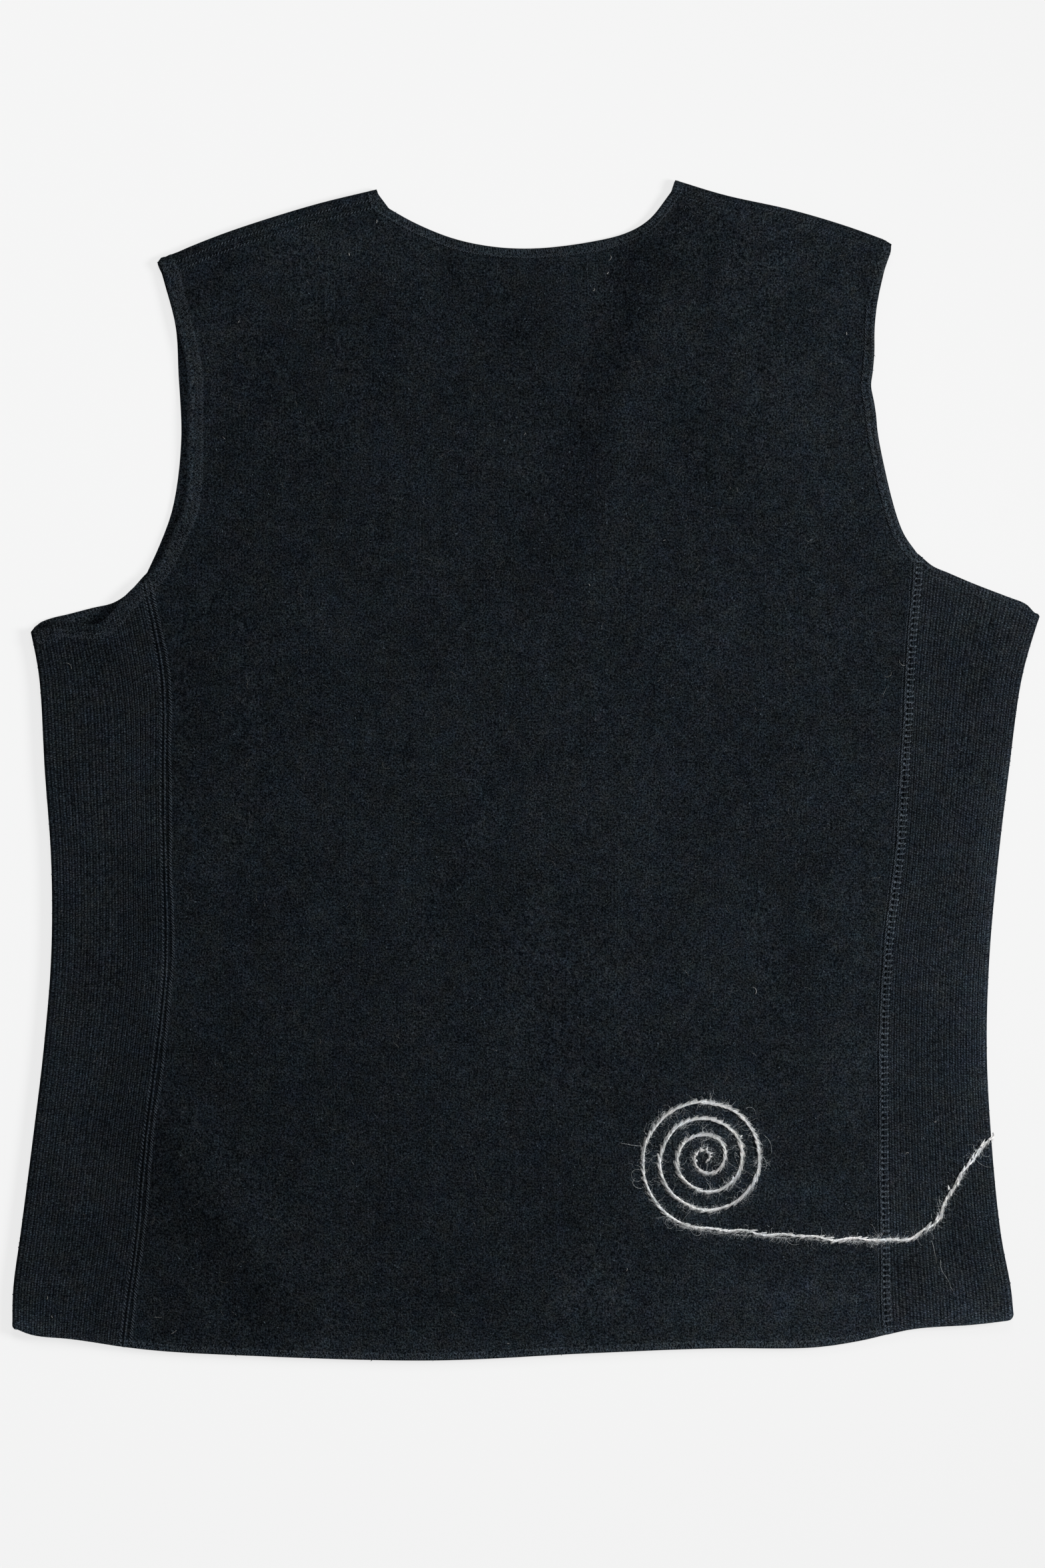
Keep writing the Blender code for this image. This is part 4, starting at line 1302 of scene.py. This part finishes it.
# Serged edges: the rim, the band's width, the wrapped thread's pitch, reach and radius, and the rows of
# stitches by shape, pitch, inset, half width, lean, height and radius
hem, neck = hem_rim(), neck_rim()
armholes = {side: armhole_rim(side) for side in SIDES}
SERGED = {
    "hem": (
        hem,
        4.2,
        (2.1, 2.3, 0.2),
        (("dash", 1.5, 0.9, 0.4, 0.6, 1.2, 0.24), ("dash", 1.7, 2.9, 0.5, 0.5, 1.1, 0.24)),
    ),
    "neck": (neck, 5.4, (1.5, 3.0, 0.2), (("tip", 1.45, 4.7, 0.62, 0, 1.15, 0.22),)),
    "armhole_left": (
        armholes["left"],
        8.6,
        (2.0, 2.9, 0.2),
        (("tip", 2.05, 4.5, 0.8, 0, 1.15, 0.25), ("tip", 2.05, 7.0, 1.35, 0, 1.12, 0.31)),
    ),
    "armhole_right": (
        armholes["right"],
        5.2,
        (1.7, 2.7, 0.24),
        (("dash", 1.8, 1.6, 0.5, 0.5, 1.3, 0.28), ("stroke", 1.7, 5.2, 0.4, 0.9, 1.2, 0.26)),
    ),
}
# Threads and rows of stitches end below these heights, short of the shoulder folds
WRAP_TOPS = {"armhole_left": 271.5, "armhole_right": 281.0}
ROW_TOPS = {"armhole_left": 270.5, "armhole_right": 252.0}
for name, (rim, width, wrap, rows) in SERGED.items():
    band(name + "_band", rim, width, MATTED)
    links = below(wrap_row(rim, *wrap), WRAP_TOPS.get(name, math.inf))
    for row in rows:
        links += below(stitch_row(rim, *row), ROW_TOPS.get(name, math.inf))
    finish = ARMHOLE_THREAD if name.startswith("armhole") else THREAD
    threads(name + "_stitches", links, finish)


def seam_rim(line, inward):
    """A seam of the back with its right side up, and its rows counted the way that inward says."""
    rim = Rim(line, np.broadcast_to(inward, line.shape), closed=False)
    if rim.out[:, 2].mean() < 0:
        rim.out = -rim.out
    return rim


def shoulder_rim(side):
    line = np.column_stack([spaced(shoulder_seam(side), even(60)), np.full(61, BACK_MID)])
    return seam_rim(line[::-1] if side == "left" else line, (0.0, 1.0, 0.0))


def label_rim(x, top, foot):
    """Where a label's side is sewn on inside the back."""
    line = np.array([(x, y, back_height(x, y)) for y in np.linspace(foot, top, 12)])
    return seam_rim(line, (1.0, 0.0, 0.0))


seam_right = seam_rim(back[: FINE["seam"] + 1, -1], (1.0, 0.0, 0.0))
seam_left = seam_rim(back[: FINE["seam"] + 1, 0], (-1.0, 0.0, 0.0))
# Seams: the rim, and the rows of stitches as above
SEAMS = {
    "seam_right": (
        seam_right,
        (
            *(("stroke", 1.5, -1.4, 0.45, 1.5, 1.15, 0.3), ("stroke", 3.05, 0.95, 1.7, 0.25, 1.25, 0.42)),
            *(("dash", 3.05, -0.45, 0.5, 0.35, 1.3, 0.62), ("dash", 3.05, 2.5, 0.5, 0.35, 1.3, 0.56)),
            *(("dash", 1.3, -3.1, 0.3, 0.8, 1.0, 0.2),),
        ),
    ),
    "seam_left": (
        seam_left,
        (
            *(("stroke", 1.55, -1.75, 0.75, 1.2, 1.25, 0.36), ("dash", 2.0, 1.1, 0.5, 0.6, 1.1, 0.4)),
            *(("dash", 2.0, 3.4, 0.55, 0.55, 1.3, 0.46),),
        ),
    ),
    "shoulder_left": (
        shoulder_rim("left"),
        (("dash", 1.9, 2.4, 0.55, 0.7, 1.15, 0.34), ("dash", 1.9, -2.0, 0.55, 0.7, 1.15, 0.34)),
    ),
    "shoulder_right": (
        shoulder_rim("right"),
        (("dash", 1.9, 2.0, 0.55, 0.7, 1.0, 0.2), ("dash", 1.9, -2.0, 0.55, 0.7, 1.0, 0.2)),
    ),
    "label": (label_rim(-14.9, 278, 262), (("dash", 1.6, 0.0, 0.12, 0.8, 0.95, 0.16),)),
    "label_far": (label_rim(33.5, 279, 257.5), (("dash", 1.6, 0.0, 0.12, 0.8, 0.95, 0.16),)),
}
for name, (rim, rows) in SEAMS.items():
    links = sum((stitch_row(rim, *row) for row in rows), [])
    finish = WORN_THREAD if name == "seam_right" else THREAD
    threads(name + "_stitches", links, finish)
welts = welt(seam_right, 0.2, -0.35, 0.9) + welt(seam_left, 0.1, -0.45, 0.9)
for side in SIDES:
    welts += welt(SEAMS["shoulder_" + side][0], 0.0, -0.1, 0.8)
threads("seam_welts", welts, MATTED)

# Nap: how many fibres stand from the back and from each gusset, and their spans of length, lift and width
BACK_FIBRES = (18000, ((1.0, 2.6), (0.15, 0.5), (0.07, 0.14)))
GUSSET_FIBRES = (4000, ((0.8, 2.0), (0.15, 0.4), (0.07, 0.13)))

count, spans = BACK_FIBRES
nap("back_nap", [nap_part(back, count, 1, CLOTH_HALF, spans)], FIBRE, "felted_knit")
count, spans = GUSSET_FIBRES
parts = []
for side, outside in (("left", -1), ("right", 1)):
    parts.append(nap_part(gussets[side]["outer"], count, outside, 0.0, spans))
nap("gusset_nap", parts, FIBRE, "rib_knit")

# Yarn: how far before its end the stitches change from the spiral's to the run's
STRAIGHT_REACH = 205.0


def leg(side, y):
    """Where a gusset's upper leg starts at the seam and ends at the fold."""
    seam = smooth(seam_curve(side, BACK_UNDERARM[side][0]))
    fold = smooth(fold_curve(side))
    inset = SIDE_BEND + CAD_HALF
    start = np.interp(y, seam[:, 1], seam[:, 0])
    return start, np.interp(y, fold[:, 1], fold[:, 0]) + (inset if side == "left" else -inset)


def cloth_top(x, y):
    """Height of the upper cloth's face."""
    height = back_height(x, y)
    for side, outward in (("left", -1), ("right", 1)):
        start, end = leg(side, y)
        share = step((x - start) / (end - start))
        height = height * (1 - share) + (SIDE_FOLD_TOP + swells(x, y, CREASES)) * share
        height += RIB_HEIGHT * ((x - start) * outward > 0)
    return height + CLOTH_HALF


def spiral_radius(turns):
    return np.hypot(SPIRAL_PITCH * turns + SPIRAL_LEAD, SPIRAL_INNER_RADIUS)


def spiral_points():
    """An even spiral from a small inner ring, whose centre drops a little with each turn."""
    start, end = SPIRAL_TURNS
    turns = [start]
    while turns[-1] < end:
        angle = min(YARN_STEP / spiral_radius(turns[-1]), YARN_STEP_ANGLE)
        turns.append(turns[-1] + angle / (2 * math.pi))
    turns = np.array(turns[:-1])
    radii = spiral_radius(turns)
    angles = turns * 2 * math.pi
    centres = SPIRAL_CENTRE + np.column_stack([np.zeros(len(turns)), -SPIRAL_DROP * turns])
    return centres + np.column_stack([radii * np.cos(angles), radii * np.sin(angles)])


def yarn_route():
    """The middle of the yarn: spiral, run and the tuck over the side fold."""
    spiral = spiral_points()
    run_points = np.vstack([spiral[-2:], YARN_RUN])
    length = np.linalg.norm(np.diff(run_points, axis=0), axis=1).sum()
    flat = np.vstack([spiral[:-2], spaced(run_points, even(round(length / YARN_STEP)))])
    x, y = flat.T
    start, end = leg("right", y)
    share = step((x - start) / (end - start))
    height = back_height(x, y) * (1 - share) + SIDE_FOLD_TOP * share
    on_ribs = step((x - start + YARN_RIB_LEAD) / YARN_STEP)
    height += CAD_HALF + YARN_RIB_HEIGHT * on_ribs + YARN_RADIUS - 0.1
    route = list(np.column_stack([x, y, height]))
    outs = [np.array((0.0, 0.0, 1.0))] * len(route)
    radius = SIDE_BEND + CAD_HALF + YARN_RIB_HEIGHT + YARN_CLEARANCE + YARN_RADIUS
    for i, angle in enumerate(YARN_TUCK_ANGLES):
        turn = math.radians(angle)
        place_y = y[-1] + YARN_TUCK_CLIMB * (i + 1)
        centre_x = leg("right", place_y)[1]
        place_z = FRONT_MID + SIDE_BEND + radius * math.sin(turn)
        route.append(np.array((centre_x + radius * math.cos(turn), place_y, place_z)))
        outs.append(np.array((math.cos(turn), 0.0, math.sin(turn))))
    line = smooth(route, 4)
    stations = np.linspace(0, len(outs) - 1, len(line))
    return line, unit(at_lengths(np.array(outs), np.arange(len(outs)), stations))


class Run:
    """Places beside a line: how far along it, to its left, and out of the cloth."""

    def __init__(self, line, outs):
        self.line, self.outs = line, outs
        self.lengths = lengths_of(line)
        self.length = self.lengths[-1]
        self.ahead = unit(np.gradient(line, axis=0))

    def frame(self, along):
        along = np.clip(along, 0, self.length)
        base = at_lengths(self.line, self.lengths, along)
        out = unit(at_lengths(self.outs, self.lengths, along))
        ahead = unit(at_lengths(self.ahead, self.lengths, along))
        return base, ahead, unit(np.cross(out, ahead)), out

    def place(self, along, left, out):
        along, left, out = np.broadcast_arrays(along, left, out)
        base, _, across, up = self.frame(along)
        return base + across * left[..., None] + up * out[..., None], up


# The strands of a stitch: how many, radius, how far from its middle as a share of its girth, fray and sides
STRANDS = ((4, 0.2, 0.65, 0.3, 4), (10, 0.1, 1.05, 1.3, 3))
# Length of one twist of the yarn's core
CORE_TWIST = 5.2


def yarn_stitches(run):
    """Stem stitch: each stitch starts outside the turn, leans in over the last and frays at its start."""
    starts, pitches = [], []
    along = 0.4
    while along < run.length - 4.5:
        pitch = np.interp(along, (0, 18, 60), (2.2, 3.2, 4.2)) * chance.uniform(0.8, 1.25)
        starts.append(along)
        pitches.append(pitch)
        along += pitch
    starts, pitches = np.array(starts)[:, None], np.array(pitches)[:, None]
    count, points = len(starts), 8
    straight = run.length - STRAIGHT_REACH
    share = np.linspace(0, 1, points)[None, :]
    reach = pitches * np.interp(starts, (0, 20, 60, straight, straight + 15), (1.7, 1.8, 1.9, 1.9, 1.45))
    along = starts + share * reach
    lean = np.interp(
        *(starts, (0, 20, 32, 50, straight, straight + 15, straight + 130, straight + 150)),
        (0.8, 0.9, 1.1, 1.1, 1.1, 1.3, 1.25, 0.9),
    )
    lean = lean * (1 + wander(count, 0.18)[:, None])
    sway = 0.25 * np.sin(starts / 3.1) + 0.2 * np.sin(starts / 5.3 + 1)
    sway *= np.interp(starts, (straight, straight + 30), (1.0, 2.5))
    sway += np.interp(starts, straight + np.array((-20, 20, 60, 140)), (0, 1.2, 0.9, 0))
    sway += np.interp(starts, (0, 22, 45), (0.7, 0.45, 0))
    tidy = np.interp(starts, (0, 20, 40), (0.25, 0.5, 1))
    left = sway + 0.25 + 0.3 * lean - lean * (1 - share) ** 1.4
    rise = -0.4 - 0.3 * (1 - share) ** 2 + 0.3 * np.sin(math.pi * share)
    body = np.sin(math.pi * np.clip(share * 0.92 + 0.06, 0, 1)) ** 0.5
    girth = np.interp(starts, (0, 20, 40, straight, straight + 30), (0.34, 0.4, 0.46, 0.46, 0.52))
    girth = girth * (1 + 0.25 * np.sin(starts / 4.3) + wander(count, 0.18)[:, None])
    batches = []
    for number, radius, apart, fray, sides in STRANDS:
        for k in range(number):
            turn = 2 * math.pi * (k + chance.random(count)[:, None]) / number + 2.6 * share
            spread = girth * apart * (0.4 + 0.6 * body) * (1 - 0.5 * share**3)
            loose = fray * tidy * chance.random(count)[:, None] * (1 - share) ** 1.5
            wave = 0.1 * np.sin(share * 9 + chance.random(count)[:, None] * 6)
            beside = left + spread * np.cos(turn) - loose + wave
            lines, ups = run.place(along, beside, rise + spread * np.sin(turn) * 0.85)
            batches.append((lines, ups, radius * body * (1 + wander(count, 0.15)[:, None]), sides))
    stations = np.arange(1.0, run.length - 3, 1.1)[None, :]
    middle = np.interp(stations[0], starts[:, 0], (sway + 0.1).mean(axis=1))
    for phase in (0.0, math.pi):
        twist = stations * 2 * math.pi / CORE_TWIST + phase
        lines, ups = run.place(stations, middle + 0.28 * np.cos(twist), -0.42 + 0.2 * np.sin(twist))
        batches.append((lines, ups, np.interp(stations, (0, 25, 60), (0.22, 0.28, 0.36)), 5))
    return batches


# Ends of stitches that stand out of the yarn: x and y, their way in degrees and their length
BARBS = (
    *((95.0, -205.4, 112, 2.4), (97.6, -205.3, 66, 2.5), (99.2, -207.3, 22, 2.3)),
    *((99.4, -208.8, 12, 1.9), (92.6, -207.4, 158, 2.3), (92.4, -210.8, 205, 2.4)),
    *((85.0, -201.6, 138, 1.6), (79.6, -195.2, 150, 1.5), (245.6, -203.2, 62, 5.2)),
    *((241.0, -209.3, 72, 3.4), (233.0, -223.6, 78, 3.0), (112.2, -220.6, 96, 2.2)),
    *((229.5, -229.5, 82, 2.6), (221.5, -243.0, 75, 3.0), (228.4, -226.0, 100, 2.4)),
    *((116.0, -198.0, 40, 1.8),),
)


def yarn_barbs():
    batches = []
    x, y, way, reach = np.array(BARBS).T
    roots = np.column_stack([x, y, cloth_top(x, y) + 1.3])
    way = np.radians(way)[:, None]
    share = np.linspace(0, 1, 6)[None, :]
    for spread in np.linspace(-0.55, 0.55, 6):
        side = spread * (1 - share) ** 1.2 + 0.12 * np.sin(share * 5 + spread * 9)
        along = share * reach[:, None] * (1 - 0.2 * abs(spread)) - 0.3
        offsets = [along * np.cos(way) - side * np.sin(way), along * np.sin(way) + side * np.cos(way)]
        lift = np.broadcast_to(0.35 * np.sin(3 * share), offsets[0].shape)
        lines = roots[:, None] + np.stack([*offsets, lift], axis=-1)
        ups = np.broadcast_to([0.0, 0.0, 1.0], lines.shape)
        batches.append((lines, ups, np.broadcast_to(0.25 * (1 - 0.75 * share), lines.shape[:2]), 4))
    return batches


def curls(roots, heading, reach, bend, wiggle, radius, drop, points):
    """Fine loose hairs that lie over the cloth, each turning by its own bend and wiggle as it goes."""
    count = len(roots)
    share = np.linspace(0, 1, points)[None, :]
    phase = chance.random(count)[:, None] * 2 * math.pi
    angle = heading[:, None] + bend[:, None] * share + wiggle[:, None] * np.sin(share * 8 + phase)
    pace = (reach / (points - 1))[:, None]
    x = np.concatenate([np.zeros((count, 1)), np.cumsum(np.cos(angle[:, 1:]) * pace, axis=1)], axis=1)
    y = np.concatenate([np.zeros((count, 1)), np.cumsum(np.sin(angle[:, 1:]) * pace, axis=1)], axis=1)
    z = -np.broadcast_to(drop, (count,))[:, None] * share**0.6 + 0.25 * np.sin(share * 7 + phase) * share
    lines = roots[:, None] + np.stack([x, y, z], axis=-1)
    ups = np.broadcast_to([0.0, 0.0, 1.0], lines.shape)
    return lines, ups, np.broadcast_to(radius * (1 - 0.45 * share**3), (count, points)), 3


# The yarn's longest loose hairs: x and y, the way in degrees, the length and the bend in degrees
LONG_HAIRS = (
    *((62.5, -203.0, 178, 11.5, -12), (62.0, -216.0, 140, 14.0, 250), (62.5, -226.0, 200, 9.0, -150)),
    *((128.5, -197.0, -30, 12.5, -75), (126.0, -208.0, -8, 11.0, -120), (123.5, -214.0, 60, 10.5, 20)),
    *((105.0, -208.5, -32, 21.0, 4), (99.5, -249.0, -62, 9.5, 130), (140.0, -252.0, -80, 9.0, 90)),
    *((246.0, -203.0, -128, 9.0, 140), (243.0, -210.0, -60, 9.5, 60), (219.0, -254.0, -66, 13.0, -22)),
    *((224.0, -264.5, -84, 19.0, 34), (119.0, -183.0, 52, 8.0, -150), (76.0, -184.5, 150, 7.0, 200)),
    *((89.0, -247.0, -110, 10.0, 170),),
)

yarn_run = Run(*yarn_route())
yarn_piece = threads("yarn", yarn_stitches(yarn_run) + yarn_barbs(), PALE)
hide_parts("yarn_spiral")


# Places along the yarn where hairs gather, and the share of the hairs that start there
TUFTS = 70
TUFTED_SHARE = 0.6
# The yarn's hairs: how many, span of length, bend, wiggle, the share that leave it outside the turns, points
HALO = (
    (4400, (0.9, 3.0), 1.3, 0.6, 0.75, 4),
    (1300, (3.0, 8.0), 2.4, 0.6, 0.6, 7),
    (90, (7.0, 13.0), 2.6, 0.5, 0.5, 9),
)


def yarn_halo():
    """Hairs that leave the yarn: a short fuzz, curls, and the longest as listed."""
    batches = []
    for count, reach, bend, wiggle, outside, points in HALO:
        along = chance.uniform(0.5, yarn_run.length - 9, count)
        tufts = chance.uniform(2, yarn_run.length - 10, TUFTS)
        tufted = chance.random(count) < TUFTED_SHARE
        along[tufted] = (tufts[chance.integers(0, TUFTS, count)] + wander(count, 2.2))[tufted]
        base, ahead, across, out = yarn_run.frame(along)
        side = np.where(chance.random(count) < outside, -1.0, 1.0)
        trail = np.where(side < 0, -1.0, 0.6) + wander(count, 0.8)
        way = across * side[:, None] + ahead * trail[:, None]
        heading = np.arctan2(way[:, 1], way[:, 0])
        roots = base + across * (side * 0.4)[:, None] - out * 0.3
        lengths = reach[0] + (reach[1] - reach[0]) * chance.random(count) ** 1.5
        bends, wiggles = wander(count, bend), wander(count, wiggle)
        batches.append(curls(roots, heading, lengths, bends, wiggles, 0.026, 0.9, points))
    x, y, way, reach, bend = np.array(LONG_HAIRS).T
    roots = np.column_stack([x, y, cloth_top(x, y) + 0.7])
    few = wander(len(x), 0.12)
    batches.append(curls(roots, np.radians(way), reach, np.radians(bend), few, 0.045, 0.45, 14))
    threads("yarn_halo", batches, PALE_HAIR)


yarn_halo()

# Lint and loose ends caught in the wool: x and y, way in degrees, length, bend in degrees and radius
LINT = (
    *((36.2, 259.4, -60, 2.6, 200, 0.22), (44.0, 268.2, 20, 1.3, 60, 0.3)),
    *((44.6, 275.5, -20, 4.6, 160, 0.12), (-95.2, 277.7, 80, 1.5, 30, 0.25)),
    *((-80.5, 295.4, 60, 1.8, 40, 0.22), (-155.3, 241.7, 20, 1.8, 50, 0.2)),
    *((-162.5, 178.7, 100, 1.7, 60, 0.2), (-258.3, -285.6, 30, 1.8, 80, 0.22)),
    *((-255.4, -295.7, 100, 1.3, 10, 0.26), (-200.5, -295.5, -6, 4.4, 12, 0.14)),
    *((-191.5, -304.5, 15, 3.6, 30, 0.14), (173.3, 234.9, 60, 1.7, 60, 0.2)),
    *((-245.0, 54.5, 70, 5.2, 110, 0.13), (-9.9, -309.8, 0, 1.1, 0, 0.36)),
    *((-0.9, 180.9, 30, 1.7, 40, 0.2), (34.7, 99.2, 80, 1.6, 60, 0.18)),
    *((74.3, 123.7, 10, 1.5, 40, 0.18), (124.0, -121.2, 30, 6.0, 150, 0.16)),
    *((54.5, -270.5, 40, 1.6, 60, 0.22), (206.8, -206.9, 110, 2.6, 170, 0.16)),
    *((220.5, -190.0, 0, 1.3, 30, 0.24), (250.4, -267.3, 0, 1.1, 0, 0.28)),
    *((201.8, 59.6, -120, 9.0, 190, 0.13), (197.5, 53.0, -60, 6.0, -150, 0.12)),
)
STRAY_COUNT = 300
# Stray hairs lie inside this half width of the chest, or below this height
CHEST_HALF = 178
UNDERARM_FOOT = 70


def lint():
    """Loose pale hairs over the cloth, and the larger bits of lint as listed."""
    x, y, way, reach, bend, radius = np.array(LINT).T
    roots = np.column_stack([x, y, cloth_top(x, y) + 0.25])
    still = np.zeros(len(x))
    batches = [curls(roots, np.radians(way), reach, np.radians(bend), still, radius[:, None], 0.1, 6)]
    x, y = chance.uniform(-255, 255, STRAY_COUNT), chance.uniform(-300, 280, STRAY_COUNT)
    inside = (np.abs(x) < CHEST_HALF) | (y < UNDERARM_FOOT)
    x, y = x[inside], y[inside]
    inside = (x < leg("right", y)[1]) & (x > leg("left", y)[1])
    x, y = x[inside], y[inside]
    count = len(x)
    roots = np.column_stack([x, y, cloth_top(x, y) + 0.2])
    heading, reach = chance.uniform(0, 2 * math.pi, count), chance.uniform(2.5, 6.5, count)
    radius = chance.uniform(0.02, 0.045, count)[:, None]
    bends, wiggles = wander(count, 1.5), wander(count, 0.4)
    batches.append(curls(roots, heading, reach, bends, wiggles, radius, 0.1, 6))
    threads("lint", batches, LINT_FINISH)


lint()


# Stage: a lit table, shaded to stay even under a key light from the right
FLOOR_GLOW = 0.75
FLOOR_SHADES = (0.195, 0.11)
FLOOR_SHADE_HALF = 0.28
CAMERA_PLACE = (-0.0016, -0.0076, 2.004)
CAMERA_LENS = 85.0
SKY = (0.97, 0.985, 1.0, 1)
SKY_STRENGTH = 0.2


def add_floor():
    bpy.ops.object.select_all(action="DESELECT")
    bpy.ops.mesh.primitive_plane_add(size=8.0, location=(0, 0, 0))
    floor = bpy.context.active_object
    floor.name = "floor"
    bpy.ops.object.transform_apply(location=True, rotation=True, scale=True)
    finish = Finish("Pale floor", 0.9, specular=0.0)
    finish.shader.inputs["Emission Color"].default_value = (1, 1, 1, 1)
    finish.shader.inputs["Emission Strength"].default_value = FLOOR_GLOW
    place = finish.node("ShaderNodeTexCoord").outputs["Object"]
    across = finish.node("ShaderNodeSeparateXYZ", Vector=place).outputs[0]
    shade = ranged(finish.tree, across, -FLOOR_SHADE_HALF, FLOOR_SHADE_HALF, *FLOOR_SHADES)
    finish.feed(finish.node("ShaderNodeCombineColor", Red=shade, Green=shade, Blue=shade).outputs[0])
    floor.data.materials.append(finish.material)
    floor.select_set(False)


def add_light(name, place, size, watts):
    data = bpy.data.lights.new(name, "AREA")
    data.shape = "DISK"
    data.size = size
    data.energy = watts
    light = bpy.data.objects.new(name, data)
    bpy.context.scene.collection.objects.link(light)
    light.location = place
    towards = np.array(place) / np.linalg.norm(place)
    light.rotation_euler = (math.acos(towards[2]), 0.0, math.atan2(towards[1], towards[0]) + math.pi / 2)


def add_camera():
    data = bpy.data.cameras.new("camera")
    data.lens = CAMERA_LENS
    data.sensor_width = 36.0
    data.clip_end = 50.0
    camera = bpy.data.objects.new("camera", data)
    bpy.context.scene.collection.objects.link(camera)
    camera.location = CAMERA_PLACE
    bpy.context.scene.camera = camera


def add_world():
    world = bpy.data.worlds.new("studio")
    bpy.context.scene.world = world
    world.use_nodes = True
    backdrop = world.node_tree.nodes["Background"]
    backdrop.inputs["Color"].default_value = SKY
    backdrop.inputs["Strength"].default_value = SKY_STRENGTH


add_floor()
add_light("key", (1.15, 0.05, 0.85), size=0.5, watts=24.8)
add_light("top", (0.2, 2.5, 2.5), size=1.5, watts=35)
add_camera()
add_world()
bpy.context.scene.view_settings.view_transform = "Standard"
